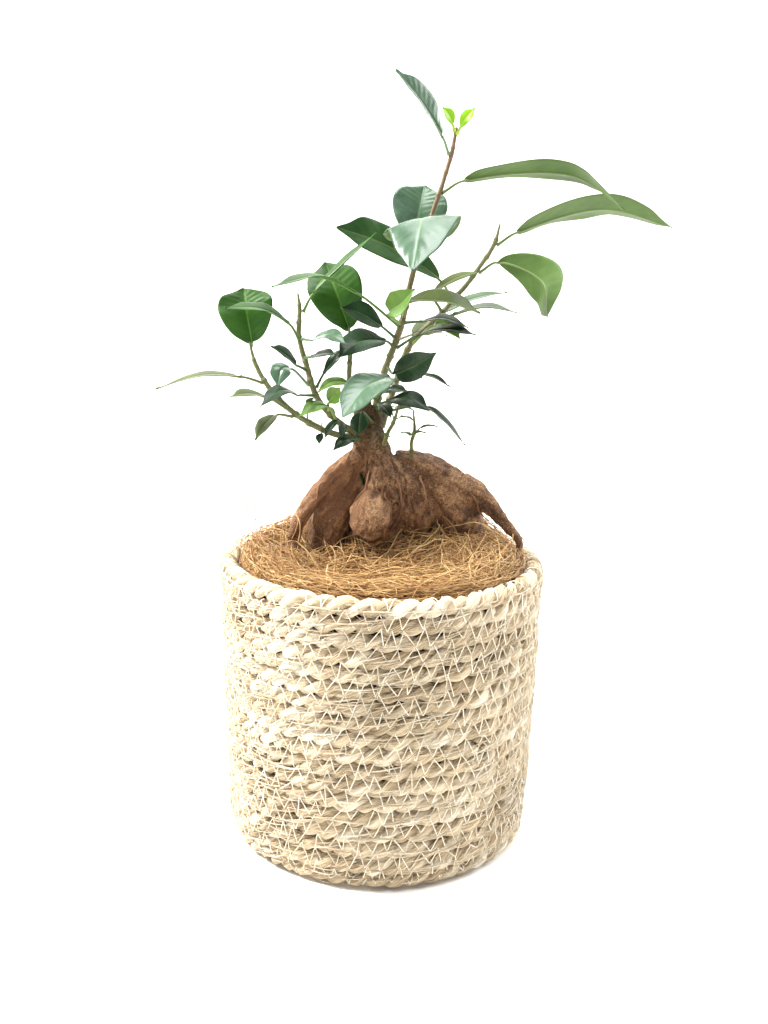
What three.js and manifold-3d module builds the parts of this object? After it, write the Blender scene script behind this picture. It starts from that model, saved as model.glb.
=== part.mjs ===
// Fig bonsai with swollen roots, planted in a plastic pot that stands in a coiled rope basket.
// Millimetres, +Z up. The origin is the centre of the basket's flat foot.
import * as THREE from 'three';
import { mergeVertices } from 'three/addons/utils/BufferGeometryUtils.js';
import Module from 'manifold-3d';

const wasm = await Module();
wasm.setup();

// ---- Driving dimensions -------------------------------------------------------------------------

const BASKET_HEIGHT = 147;
const RIM_RADIUS = 83;
const FOOT_RADIUS = 79;
const FOOT_CORNER = 8;
const LEAST_INNER_CORNER = 0.5;
const ROPE_THICKNESS = 7.5;
const BASKET_SIDES = 40;

const LINER_CLEARANCE = 1.2;
const LINER_WALL = 1.4;
const LINER_BELOW_RIM = 15;
const DRAIN_HOLE_RADIUS = 4;
const DRAIN_HOLE_COUNT = 6;
const DRAIN_HOLE_SIDES = 12;

const SOIL_BELOW_LINER_EDGE = 4;
const COIR_EDGE_DROP = 1.5;
const COIR_HEAP = 5;
const COIR_BACK_RISE = 14;
const COIR_HOLLOW = 10;

const SEAT_GAP = 0.3;
const ROOT_DEPTH = 42;
const ROOT_TO_WALL = 5.5;
const LEAF_THICKNESS = 0.8;
const SLENDER_WIDTH = 12;
const BROAD_WIDTH = 24;
const STALK_RADIUS = 0.75;
const STEM_SIDES = 8;
const ROOT_SIDES = 12;
const ROOT_STEPS = 11;
const STALK_STEPS = 4;
const BLADE_STEPS = 10;

// ---- Small helpers ------------------------------------------------------------------------------

const vector = ([x, y, z]) => new THREE.Vector3(x, y, z);

// A geometry with only its positions, shared at every corner, so that it is one closed surface.
function closedSurface(geometry) {
  geometry.deleteAttribute('normal');
  geometry.deleteAttribute('uv');
  return mergeVertices(geometry, 1e-4);
}

function toSolid(geometry) {
  const surface = closedSurface(geometry);
  const vertProperties = new Float32Array(surface.attributes.position.array);
  const triVerts = new Uint32Array(surface.index.array);
  return new wasm.Manifold(new wasm.Mesh({ numProp: 3, vertProperties, triVerts }));
}

function toGeometry(solid) {
  const mesh = solid.getMesh();
  const geometry = new THREE.BufferGeometry();
  geometry.setAttribute('position', new THREE.BufferAttribute(mesh.vertProperties, mesh.numProp));
  geometry.setIndex(new THREE.BufferAttribute(mesh.triVerts, 1));
  return geometry;
}

function named(name, geometry, material) {
  const mesh = new THREE.Mesh(geometry, material);
  mesh.name = name;
  return mesh;
}

const finish = (color, roughness) => new THREE.MeshStandardMaterial({ color, roughness, metalness: 0 });

// A lathe turns about Y, so it is stood up on Z.
function turned(profile, sides) {
  const points = profile.map(([radius, height]) => new THREE.Vector2(radius, height));
  return new THREE.LatheGeometry(points, sides).rotateX(Math.PI / 2);
}

// Directions square to a path at each of its points, carried along it without twist from one point.
function carryFrames(points, start, up) {
  const last = points.length - 1;
  const tangents = points.map((point, i) => {
    const before = points[Math.max(i - 1, 0)];
    const after = points[Math.min(i + 1, last)];
    return after.clone().sub(before).normalize();
  });
  const ups = [];
  ups[start] = up.clone().addScaledVector(tangents[start], -up.dot(tangents[start])).normalize();
  const turn = new THREE.Quaternion();
  for (let i = start + 1; i <= last; i += 1) {
    turn.setFromUnitVectors(tangents[i - 1], tangents[i]);
    ups[i] = ups[i - 1].clone().applyQuaternion(turn);
  }
  for (let i = start - 1; i >= 0; i -= 1) {
    turn.setFromUnitVectors(tangents[i + 1], tangents[i]);
    ups[i] = ups[i + 1].clone().applyQuaternion(turn);
  }
  return ups.map((lifted, i) => ({ up: lifted, side: tangents[i].clone().cross(lifted) }));
}

// A cylinder whose rings are moved on to a path; section(i, u, v) gives the offsets along up and side.
function sweep(points, frames, sides, section) {
  const steps = points.length - 1;
  const geometry = closedSurface(new THREE.CylinderGeometry(1, 1, 1, sides, steps));
  const position = geometry.attributes.position;
  for (let n = 0; n < position.count; n += 1) {
    const ring = Math.round((position.getY(n) + 0.5) * steps);
    const [along, across] = section(ring, position.getZ(n), position.getX(n));
    const placed = points[ring].clone();
    placed.addScaledVector(frames[ring].up, along);
    placed.addScaledVector(frames[ring].side, across);
    position.setXYZ(n, placed.x, placed.y, placed.z);
  }
  return geometry;
}

// Value of a list of evenly spaced numbers at a share from 0 to 1.
function blendList(list, share) {
  const place = share * (list.length - 1);
  const low = Math.min(Math.floor(place), list.length - 2);
  return THREE.MathUtils.lerp(list[low], list[low + 1], place - low);
}

// ---- Limbs: everything that tapers along a path ---------------------------------------------------

// A limb is a smooth path with a radius at evenly spaced shares of it.
function limb(path, radii) {
  return { curve: new THREE.CatmullRomCurve3(path.map(vector), false, 'centripetal'), radii };
}

// The first share of a limb that reaches a height.
function shareAtHeight(part, height) {
  const samples = 200;
  let before = part.curve.getPoint(0).z - height;
  for (let i = 1; i <= samples; i += 1) {
    const now = part.curve.getPoint(i / samples).z - height;
    if (before * now <= 0) {
      return (i - now / (now - before || 1)) / samples;
    }
    before = now;
  }
  return Math.abs(part.curve.getPoint(1).z - height) < Math.abs(part.curve.getPoint(0).z - height) ? 1 : 0;
}

// The point just clear of a limb's skin at a height, on the side that a direction leans to.
function skinPoint(part, height, direction, ownRadius) {
  const share = THREE.MathUtils.clamp(shareAtHeight(part, height), 0, 1);
  const centre = part.curve.getPoint(share);
  const tangent = part.curve.getTangent(share);
  const outward = direction.clone().addScaledVector(tangent, -direction.dot(tangent)).normalize();
  const reach = blendList(part.radii, share) + SEAT_GAP + 0.7 * ownRadius;
  return centre.addScaledVector(outward, reach);
}

function limbGeometry(part, steps, sides, swell, lumps) {
  const points = Array.from({ length: steps + 1 }, (_, i) => part.curve.getPoint(i / steps));
  const frames = carryFrames(points, 0, new THREE.Vector3(0.3, 1, 0.2));
  return sweep(points, frames, sides, (ring, u, v) => {
    const angle = Math.atan2(v, u);
    const share = ring / steps;
    const lump = 1 + lumps * Math.sin(3 * angle + 7 * share) + 0.5 * lumps * Math.sin(5 * angle - 11 * share);
    const radius = blendList(part.radii, share) * lump + swell;
    return [u * radius, v * radius];
  });
}

// ---- Swollen root and trunk, in heights above the basket's rim -------------------------------------

const ROOT_LUMPS = 0.05;
const neck = limb([[-5, 8, 44], [-5.5, 7, 55], [-6, 6, 63], [-5, 6, 70], [-5, 6, 76]], [11, 8, 5, 3.6, 2.6]);
const stub = limb([[-11, 7, 50], [-12, 6, 64], [-12.5, 6, 79]], [6.5, 4.6, 3.8]);
const leftBody = limb(
  [[-8, 10, 49], [-16, 10, 42], [-23, 10, 28], [-28, 9, 12], [-29, 8, -8], [-29, 8, -ROOT_DEPTH]],
  [8, 10, 12, 13, 12, 5],
);
const centreBody = limb(
  [[-1, 8, 47], [0, 4, 38], [1, 2, 27], [-3, 5, 10], [-5, 6, -8], [-5, 7, -ROOT_DEPTH]],
  [9, 13, 13.5, 11, 9, 4],
);
const innerBody = limb(
  [[6, 9, 43], [12, 5, 34], [16, 4, 23], [17, 9, 6], [17, 9, -14]],
  [9, 12, 11, 9, 6],
);
const rightBody = limb(
  [[4, 9, 44], [20, 9, 40], [33, 10, 30], [40, 10, 14], [40, 10, -8], [38, 10, -ROOT_DEPTH]],
  [9.5, 12.5, 14, 13, 10, 5],
);
const bulb = limb([[-5, 0, 28], [-6, -8, 25], [-7, -12, 19], [-6.5, -12, 13]], [7.5, 10, 10.3, 7.5]);
const ridgeRoot = limb(
  [
    [-13, 2, 52],
    [-25, 0, 44],
    [-33, -1, 34],
    [-39, -2, 25],
    [-45, -4, 13],
    [-47, -4, 3],
    [-47, -4, -ROOT_DEPTH / 2],
  ],
  [4, 4.2, 4, 3.8, 3.2, 3, 1.6],
);
// The thin root runs from the right body out to the basket's wall, so it ends a set way short of it.
const thinRootReach = RIM_RADIUS - ROPE_THICKNESS - ROOT_TO_WALL;
const outwards = (share) => THREE.MathUtils.lerp(40, thinRootReach, share);
const thinRoot = limb(
  [
    [outwards(0), 6, 34],
    [outwards(0.3), 4, 31],
    [outwards(0.53), 1, 24],
    [outwards(0.8), -2, 16],
    [outwards(1), -4, 8],
    [outwards(0.93), -4, -ROOT_DEPTH / 4],
  ],
  [9, 6.2, 4.6, 3.4, 2.6, 1.8],
);
const backRoot = limb([[4, 14, 42], [8, 27, 24], [10, 33, 4], [9, 32, -ROOT_DEPTH / 2]], [10, 11, 9, 5]);
const backLeftRoot = limb(
  [[-16, 14, 40], [-22, 27, 20], [-24, 32, 2], [-23, 31, -ROOT_DEPTH / 2]],
  [9, 10, 8, 5],
);
const rootParts = [
  leftBody, centreBody, innerBody, rightBody, bulb, ridgeRoot, thinRoot, backRoot, backLeftRoot, neck, stub,
];

// One grown piece: its limbs joined, or the same a little larger, as a cutter for what it grows through.
function rootSolid(swell) {
  return rootParts
    .map((part) => toSolid(limbGeometry(part, ROOT_STEPS, ROOT_SIDES, swell, ROOT_LUMPS)))
    .reduce((whole, next) => whole.add(next));
}

function makeRoot(material) {
  const geometry = toGeometry(rootSolid(0)).translate(0, 0, BASKET_HEIGHT);
  return named('swollen_root', geometry, material);
}

function rootCutter() {
  return rootSolid(SEAT_GAP).translate([0, 0, BASKET_HEIGHT]);
}

// ---- Basket, liner pot, soil and coir ----------------------------------------------------------------

const innerFoot = FOOT_RADIUS - ROPE_THICKNESS;
const innerRim = RIM_RADIUS - ROPE_THICKNESS;
const rimRoundStart = BASKET_HEIGHT - ROPE_THICKNESS / 2;

// Inner radius of the basket's wall at a height above its rounded foot.
function basketBore(height) {
  const share = (height - FOOT_CORNER) / (rimRoundStart - FOOT_CORNER);
  return THREE.MathUtils.lerp(innerFoot, innerRim, share);
}

function makeBasket(material) {
  const profile = [[0, 0]];
  const cornerSteps = 6;
  for (let i = 0; i <= cornerSteps; i += 1) {
    const angle = (i / cornerSteps) * (Math.PI / 2);
    profile.push([
      FOOT_RADIUS - FOOT_CORNER + FOOT_CORNER * Math.sin(angle),
      FOOT_CORNER * (1 - Math.cos(angle)),
    ]);
  }
  profile.push([RIM_RADIUS, rimRoundStart]);
  const rimSteps = 4;
  for (let i = 1; i < rimSteps; i += 1) {
    const angle = (i / rimSteps) * Math.PI;
    profile.push([
      RIM_RADIUS - (ROPE_THICKNESS / 2) * (1 - Math.cos(angle)),
      BASKET_HEIGHT - (ROPE_THICKNESS / 2) * (1 - Math.sin(angle)),
    ]);
  }
  profile.push([innerRim, rimRoundStart]);
  const innerCorner = Math.max(FOOT_CORNER - ROPE_THICKNESS, LEAST_INNER_CORNER);
  for (let i = cornerSteps; i >= 0; i -= 1) {
    const angle = (i / cornerSteps) * (Math.PI / 2);
    profile.push([
      innerFoot - innerCorner + innerCorner * Math.sin(angle),
      ROPE_THICKNESS + innerCorner * (1 - Math.cos(angle)),
    ]);
  }
  profile.push([0, ROPE_THICKNESS]);
  return named('rope_basket', turned(profile, BASKET_SIDES), material);
}

const linerFoot = ROPE_THICKNESS + SEAT_GAP;
const linerTop = BASKET_HEIGHT - LINER_BELOW_RIM;
const linerTopRadius = basketBore(linerTop) - LINER_CLEARANCE;
const linerFootRadius = Math.min(FOOT_RADIUS - FOOT_CORNER, innerFoot - LINER_CLEARANCE);
const soilTop = linerTop - SOIL_BELOW_LINER_EDGE;

// Inner radius of the liner pot at a height.
function linerBore(height) {
  const share = (height - linerFoot) / (linerTop - linerFoot);
  return THREE.MathUtils.lerp(linerFootRadius, linerTopRadius, share) - LINER_WALL;
}

function makeLiner(material) {
  const profile = [
    [0, linerFoot],
    [linerFootRadius, linerFoot],
    [linerTopRadius, linerTop],
    [linerTopRadius - LINER_WALL, linerTop],
    [linerBore(linerFoot + LINER_WALL), linerFoot + LINER_WALL],
    [0, linerFoot + LINER_WALL],
  ];
  const pot = toSolid(turned(profile, BASKET_SIDES));
  const drill = 4 * LINER_WALL;
  const hole = new THREE.CylinderGeometry(DRAIN_HOLE_RADIUS, DRAIN_HOLE_RADIUS, drill, DRAIN_HOLE_SIDES);
  hole.rotateX(Math.PI / 2);
  const holeCircle = linerFootRadius / 2;
  let drained = pot;
  for (let i = 0; i < DRAIN_HOLE_COUNT; i += 1) {
    const angle = (i / DRAIN_HOLE_COUNT) * 2 * Math.PI;
    const place = [holeCircle * Math.cos(angle), holeCircle * Math.sin(angle), linerFoot + LINER_WALL / 2];
    drained = drained.subtract(toSolid(hole.clone()).translate(place));
  }
  return named('nursery_pot', toGeometry(drained), material);
}

function makeSoil(cutter, material) {
  const foot = linerFoot + LINER_WALL + SEAT_GAP;
  const profile = [
    [0, foot],
    [linerBore(foot) - SEAT_GAP, foot],
    [linerBore(soilTop) - SEAT_GAP, soilTop],
    [0, soilTop],
  ];
  const soil = toSolid(turned(profile, BASKET_SIDES)).subtract(cutter);
  return named('potting_soil', toGeometry(soil), material);
}

// Height of the coir's loose top over the rim, low at the wall, heaped behind
// the root and hollowed in front of it.
function coirTop(radiusShare, angle) {
  const backness = (1 + Math.cos(angle - 1.3)) / 2;
  const heap = COIR_HEAP * (1 - radiusShare ** 4);
  const rise = COIR_BACK_RISE * backness * (1 - radiusShare ** 6);
  const tufts = 1.2 * radiusShare * Math.sin(5 * angle + 4 * radiusShare) * (1 - radiusShare ** 8);
  const towardsFront = ((1 + Math.cos(angle + 2.2)) / 2) ** 2;
  const hollow = COIR_HOLLOW * towardsFront * Math.exp(-(((radiusShare - 0.5) / 0.22) ** 2));
  return heap + rise + tufts - hollow - COIR_EDGE_DROP;
}

// The coir fills the basket's mouth, sits on the liner's edge and packs down on to the soil.
function makeCoir(cutter, material) {
  const spread = innerRim - 2 * SEAT_GAP;
  const edgeFoot = linerTop + SEAT_GAP;
  const footSpread = basketBore(edgeFoot) - 2 * SEAT_GAP;
  const rings = 7;
  const top = Array.from({ length: rings + 1 }, (_, i) => [(spread * i) / rings, BASKET_HEIGHT]);
  const plug = linerBore(linerTop) - SEAT_GAP - LINER_CLEARANCE;
  const profile = [
    [0, soilTop + SEAT_GAP],
    [plug, soilTop + SEAT_GAP],
    [plug, edgeFoot],
    [footSpread, edgeFoot],
  ];
  const geometry = turned(profile.concat(top.reverse()), BASKET_SIDES);
  const position = geometry.attributes.position;
  for (let n = 0; n < position.count; n += 1) {
    if (Math.abs(position.getZ(n) - BASKET_HEIGHT) < 1e-3) {
      const share = Math.hypot(position.getX(n), position.getY(n)) / spread;
      const angle = Math.atan2(position.getY(n), position.getX(n));
      position.setZ(n, BASKET_HEIGHT + coirTop(share, share < 1e-3 ? 0 : angle));
    }
  }
  const coir = toSolid(geometry).subtract(cutter);
  const pieces = coir.decompose().sort((a, b) => b.volume() - a.volume());
  return named('coir_topping', toGeometry(pieces[0]), material);
}

// ---- Stems, in heights above the basket's rim ----------------------------------------------------------

// A stem starts just clear of the limb that bears it and runs through the points given.
function stem(parent, height, path, radii) {
  const towards = vector(path[0]).sub(parent.curve.getPoint(shareAtHeight(parent, height)));
  const start = skinPoint(parent, height, towards, radii[0]);
  return limb([start.toArray(), ...path], radii);
}

const mainStem = limb(
  [
    [-5, 6, 76 + 2 * SEAT_GAP],
    [-4.7, 6, 82],
    [-1, 5, 95],
    [6, 4, 117],
    [12, 2, 145],
    [19, 4, 169],
    [28, 6, 198],
    [30, 6, 211],
  ],
  [2.2, 2, 1.8, 1.6, 1.4, 1.2, 1.1, 0.9],
);
const rightStem = stem(
  neck,
  66,
  [[3, 13, 84], [12, 13, 108], [28, 10, 125], [43, 6, 145], [51, 4, 158], [53, 4, 167]],
  [1.8, 1.8, 1.6, 1.4, 1.2, 1.1, 0.5],
);
const leftStem = stem(
  stub,
  63,
  [[-27, -3, 71], [-35, -8, 82], [-41, -6, 99], [-44, -4, 112], [-44, -2, 123], [-45, -2, 131]],
  [1.7, 1.6, 1.5, 1.4, 1.2, 1.1, 0.5],
);
const outerLeftStem = stem(
  stub,
  60,
  [[-31, -9, 65], [-47, -14, 75], [-58, -13, 86], [-65, -10, 97], [-68, -8, 107]],
  [1.7, 1.6, 1.5, 1.3, 1.1, 0.6],
);
const centreLeftStem = stem(stub, 76, [[-19, -4, 90], [-19, -4, 102], [-20, -4, 112]], [1.4, 1.3, 1.2, 0.9]);
const frontSprout = stem(neck, 58, [[1, -4, 64], [4, -8, 71], [6, -9, 79]], [1, 1, 0.9, 0.4]);
const rightSprout = stem(rightBody, 42.5, [[13, -4, 59], [14, -9, 66], [13, -10, 76]], [1, 1, 0.9, 0.4]);

const stems = {
  main_stem: mainStem,
  right_stem: rightStem,
  left_stem: leftStem,
  outer_left_stem: outerLeftStem,
  centre_left_stem: centreLeftStem,
  front_sprout: frontSprout,
  right_sprout: rightSprout,
};
const bearers = { ...stems, neck, stub };

function makeStem(name, part, material) {
  const steps = 3 * (part.curve.points.length - 1);
  return named(name, limbGeometry(part, steps, STEM_SIDES, 0, 0), material);
}

// ---- Leaves ----------------------------------------------------------------------------------------------

// One row a leaf: name, what bears it, height on that, stalk, middle of the blade and tip, both from
// the blade's foot, blade width, direction the upper face looks, fold of each half in degrees and the
// share of the blade where it is widest.
const LEAVES = [
  [
    'crown_leaf', 'main_stem', 199, [-3, -2, 7], [-10.5, -5, 14.5], [-23.5, -11, 28], 17,
    [0.7, -0.5, 0.45], 23, 0.5,
  ],
  [
    'bud_leaf_left', 'main_stem', 210, [-0.5, -1, 2], [-1.8, -2, 3.5], [-5.5, -4, 7.5], 6.5,
    [0.3, -0.9, 0.4], 15, 0.55,
  ],
  [
    'bud_leaf_right', 'main_stem', 209, [1, -1, 2], [2.6, -1, 4.5], [6.5, -2, 9], 6.5,
    [-0.3, -0.9, 0.4], 15, 0.55,
  ],
  [
    'upper_right_leaf', 'main_stem', 182, [10, 3, 6], [50, -14, 2.5], [73, -30, -14], 22,
    [0.1, 0.27, 0.96], 9, 0.45,
  ],
  [
    'right_leaf', 'right_stem', 158, [9, 1, 6], [41, -2, 12], [75, -4, 4], 24,
    [-0.1, 0.35, 0.93], 9, 0.45,
  ],
  [
    'drooping_right_leaf', 'right_stem', 145, [8, -2, 5], [21, -13, -9], [22.5, -26, -25], 25,
    [0.4, 0.8, 0.45], 8, 0.6,
  ],
  [
    'right_leaf_3', 'right_stem', 124, [-4, -8, 8], [11, -2, 8], [22, -4, 11], 7,
    [-0.3, -0.5, 0.8], 12, 0.4,
  ],
  [
    'right_leaf_4', 'right_stem', 115, [6, 3, 6], [18, 6, 9], [37, 12, 13], 14,
    [-0.2, -0.2, 0.95], 10, 0.5,
  ],
  ['right_leaf_5', 'right_stem', 121, [7, -6, 3], [15, -3, 4], [31, -6, 2], 14, [0, -0.1, 1], 10, 0.5],
  [
    'right_leaf_6', 'right_stem', 109, [9, -8, 9], [7, -4, 1], [13, -8, -6], 10,
    [0, -0.8, 0.6], 12, 0.5,
  ],
  [
    'right_leaf_7', 'right_stem', 98, [8, -4, -4], [7, -3, -2], [14, -6, -6], 5,
    [0.2, -0.4, 0.9], 15, 0.45,
  ],
  [
    'middle_leaf_1', 'main_stem', 122, [2, -11, 7], [17, -6, 1], [34, -12, -4], 16,
    [0, -0.35, 0.94], 20, 0.45,
  ],
  [
    'middle_leaf_2', 'main_stem', 118, [-5, -9, 5], [6, -4, 5], [12, -8, 12], 15,
    [-0.4, -0.8, 0.4], 25, 0.4,
  ],
  [
    'middle_leaf_3', 'main_stem', 111, [-6, -6, 5], [-10, -4, 6], [-20, -8, 9], 13,
    [0.2, -0.75, 0.6], 12, 0.45,
  ],
  [
    'middle_leaf_4', 'main_stem', 107, [-3, -5, 2], [-12, -7, 0], [-23, -13, -8], 17,
    [-0.1, -0.6, 0.8], 10, 0.5,
  ],
  [
    'middle_leaf_5', 'main_stem', 96, [3, -8, -2], [10, -8, 5], [20, -15, 12], 14,
    [0.35, -0.85, 0.3], 14, 0.45,
  ],
  [
    'front_leaf', 'main_stem', 87, [4, -15, 6], [-11, -12, -4], [-22, -24, -18], 21,
    [-0.25, -0.6, 0.75], 8, 0.45,
  ],
  [
    'middle_leaf_6', 'main_stem', 110, [7, 12, 2], [10, 8, 3], [19, 16, -1], 15,
    [0.1, -0.45, 0.9], 8, 0.5,
  ],
  [
    'middle_leaf_7', 'main_stem', 119, [7, -4, 1], [11, -5, 2], [23, -10, -2], 10,
    [0, -0.3, 0.95], 10, 0.5,
  ],
  [
    'middle_leaf_8', 'main_stem', 107, [9, -4, 6], [14, -8, 4], [28, -15, 2], 11,
    [0, -0.35, 0.94], 10, 0.5,
  ],
  ['low_leaf_1', 'main_stem', 80, [2, -6, 4], [6, -4, 2], [12, -8, 2], 8, [0, -0.5, 0.85], 10, 0.5],
  [
    'low_leaf_2', 'main_stem', 77, [4, -10, 3], [11, -7, 2], [21, -12, -3], 12,
    [0.1, -0.6, 0.8], 8, 0.5,
  ],
  ['low_leaf_3', 'neck', 75, [1, -15, 4], [3, -5, -1], [6, -10, -5], 7, [0.3, -0.7, 0.6], 10, 0.5],
  ['low_leaf_4', 'neck', 73, [20, 3, 3], [11, -2, -7], [22, -6, -19], 7, [0.5, -0.3, 0.8], 15, 0.4],
  ['low_leaf_5', 'neck', 68, [-5, -11, 6], [-1, -4, -5], [-1, -8, -10], 9, [0, -0.9, 0.4], 6, 0.5],
  ['low_leaf_6', 'stub', 60, [-2, -7, 1], [-5, -4, 0], [-11, -7, -5], 8, [0, -0.5, 0.85], 8, 0.5],
  [
    'great_front_leaf', 'main_stem', 147, [1, -5, 10], [1, -18, 10], [-3, -40, -14], 38,
    [-0.2, -0.3, 0.93], -8, 0.34,
  ],
  ['back_leaf', 'main_stem', 156, [-2, 5, 4], [2, 5, 15], [4, 11, 25.5], 28, [0, -0.95, 0.3], 9, 0.52],
  [
    'crossing_leaf', 'right_stem', 130, [-5, 0, 8], [-27, 0, 16], [-52, -12, 24], 21,
    [0.25, -0.75, 0.5], 18, 0.58,
  ],
  [
    'left_leaf_1', 'left_stem', 123, [4, 1, 8], [14, -3, 14], [31, -6, 30], 10,
    [-0.6, -0.25, 0.7], 14, 0.5,
  ],
  [
    'arched_leaf', 'main_stem', 117, [-20, -10, 15], [-18, -9, 7], [-39, -20, 2], 16,
    [0, -0.15, 1], 10, 0.5,
  ],
  [
    'round_leaf', 'centre_left_stem', 111, [0, 4, 3], [-7, 4, 18], [-13, 12, 33], 28,
    [0.1, -0.95, 0.25], 12, 0.58,
  ],
  [
    'heart_leaf', 'outer_left_stem', 106, [0, 2, 1], [-3, 2, 16], [-5, 7, 26.5], 28,
    [0.05, -0.95, 0.2], 14, 0.56,
  ],
  [
    'left_leaf_2', 'left_stem', 110, [-4, -6, 7], [-13, -6, 7], [-29, -14, 7], 11,
    [0, -0.4, 0.9], 10, 0.5,
  ],
  ['left_leaf_3', 'left_stem', 109, [4, -4, 0], [9, -5, 3], [18, -10, -1], 10, [0, -0.5, 0.85], 8, 0.5],
  ['left_leaf_4', 'left_stem', 100, [3, -5, 1], [6, -4, 2], [12, -8, 2], 8, [0, -0.5, 0.85], 8, 0.5],
  ['left_leaf_5', 'left_stem', 86, [3, 2, 6], [5, 0, 7], [10, 1, 13], 7, [-0.5, -0.6, 0.5], 15, 0.5],
  [
    'left_leaf_6', 'left_stem', 95, [-3, -4, 2], [-6, -6, 6], [-12, -12, 10], 8,
    [0.3, -0.6, 0.7], 20, 0.45,
  ],
  [
    'left_leaf_7', 'left_stem', 88, [-8, -3, 8], [-4, -3, 0], [-6, -7, -9], 11,
    [-0.3, -0.85, 0.3], 8, 0.55,
  ],
  [
    'left_leaf_8', 'left_stem', 83, [-6, -8, 1], [-8, -9, 3], [-17, -18, -4], 11,
    [0, -0.4, 0.9], 8, 0.45,
  ],
  ['left_leaf_9', 'left_stem', 75, [0, -5, 4], [3, -2, 4], [6, -4, 8], 9, [0, -0.9, 0.4], 6, 0.5],
  [
    'left_leaf_10', 'left_stem', 71, [-3, -7, 6], [-6, -5, 1], [-14, -10, -4], 9,
    [0, -0.5, 0.85], 10, 0.5,
  ],
  [
    'left_leaf_11', 'centre_left_stem', 86, [-1, -3, 3], [-8, -1, 1], [-16, -3, -5], 7,
    [0, -0.5, 0.85], 8, 0.45,
  ],
  [
    'long_left_leaf', 'outer_left_stem', 89, [-9, -4, 3], [-18, -8, 1], [-38, -18, -5], 10,
    [0, -0.1, 1], 8, 0.45,
  ],
  [
    'outer_leaf_1', 'outer_left_stem', 77, [-7, -6, 5], [-9, -7, 3], [-17, -14, 2], 12,
    [0, -0.3, 0.95], 8, 0.4,
  ],
  [
    'outer_leaf_2', 'outer_left_stem', 74, [-7, -3, 1], [-5, -6, -4], [-9, -11, -11], 10,
    [-0.5, -0.6, 0.6], 10, 0.45,
  ],
];

// Half width of a blade as a share of its greatest, from the foot, through the belly, to a drawn-out tip.
function bladeOutline(share, belly, width) {
  const skew = Math.log(0.5) / Math.log(belly);
  const fullness = THREE.MathUtils.smoothstep(width, SLENDER_WIDTH, BROAD_WIDTH);
  const body = Math.max(Math.sin(Math.PI * share ** skew), 0) ** THREE.MathUtils.lerp(0.8, 0.6, fullness);
  const tipStart = THREE.MathUtils.lerp(0.7, 0.82, fullness);
  return body * (1 - 0.5 * THREE.MathUtils.smoothstep(share, tipStart, 0.97));
}

function makeLeaf(row, material) {
  const [name, bearerName, height, stalk, middle, tip, width, face, fold, belly] = row;
  const bearer = bearers[bearerName];
  const start = skinPoint(bearer, height, vector(stalk), STALK_RADIUS);
  const foot = start.clone().add(vector(stalk));
  const path = [start, foot, foot.clone().add(vector(middle)), foot.clone().add(vector(tip))];
  const curve = new THREE.CatmullRomCurve3(path, false, 'centripetal');
  const steps = STALK_STEPS + BLADE_STEPS;
  const stalkShare = 1 / 3;
  const points = Array.from({ length: steps + 1 }, (_, i) => {
    const alongStalk = (stalkShare * i) / STALK_STEPS;
    const alongBlade = stalkShare + ((1 - stalkShare) * (i - STALK_STEPS)) / BLADE_STEPS;
    return curve.getPoint(i <= STALK_STEPS ? alongStalk : alongBlade);
  });
  const frames = carryFrames(points, STALK_STEPS + BLADE_STEPS / 2, vector(face));
  const foldAngle = THREE.MathUtils.degToRad(fold);
  const tipWidth = 0.35;
  const geometry = sweep(points, frames, 4, (ring, u, v) => {
    const share = Math.max(ring - STALK_STEPS, 0) / BLADE_STEPS;
    const spread = (width / 2) * bladeOutline(share, belly, width);
    const least = ring <= STALK_STEPS ? STALK_RADIUS : tipWidth;
    const half = Math.max(spread, least);
    const thick = THREE.MathUtils.lerp(STALK_RADIUS, LEAF_THICKNESS / 2, Math.min(share * 4, 1));
    const lift = Math.max(half - STALK_RADIUS, 0) * Math.sin(foldAngle);
    return [u * thick + Math.abs(v) * lift, v * half * Math.cos(foldAngle)];
  });
  return named(name, geometry, material);
}

// ---- The whole object -------------------------------------------------------------------------------------

const bark = finish(0x7a5136, 0.75);
const cutter = rootCutter();

const bonsai = new THREE.Group();
bonsai.add(makeBasket(finish(0xe9dcc2, 0.9)));
bonsai.add(makeLiner(finish(0x2b2b2b, 0.5)));
bonsai.add(makeSoil(cutter, finish(0x33261c, 0.95)));
bonsai.add(makeCoir(cutter, finish(0xc99045, 0.9)));
bonsai.add(makeRoot(bark));

const shoots = new THREE.Group();
shoots.position.z = BASKET_HEIGHT;
for (const [name, part] of Object.entries(stems)) {
  shoots.add(makeStem(name, part, finish(0x77864a, 0.6)));
}
for (const row of LEAVES) {
  shoots.add(makeLeaf(row, finish(0x2f6b34, 0.35)));
}
bonsai.add(shoots);

export default bonsai;
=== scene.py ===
import math

import bmesh
import bpy
import numpy as np
from mathutils import Matrix, Vector
from mathutils.bvhtree import BVHTree


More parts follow.
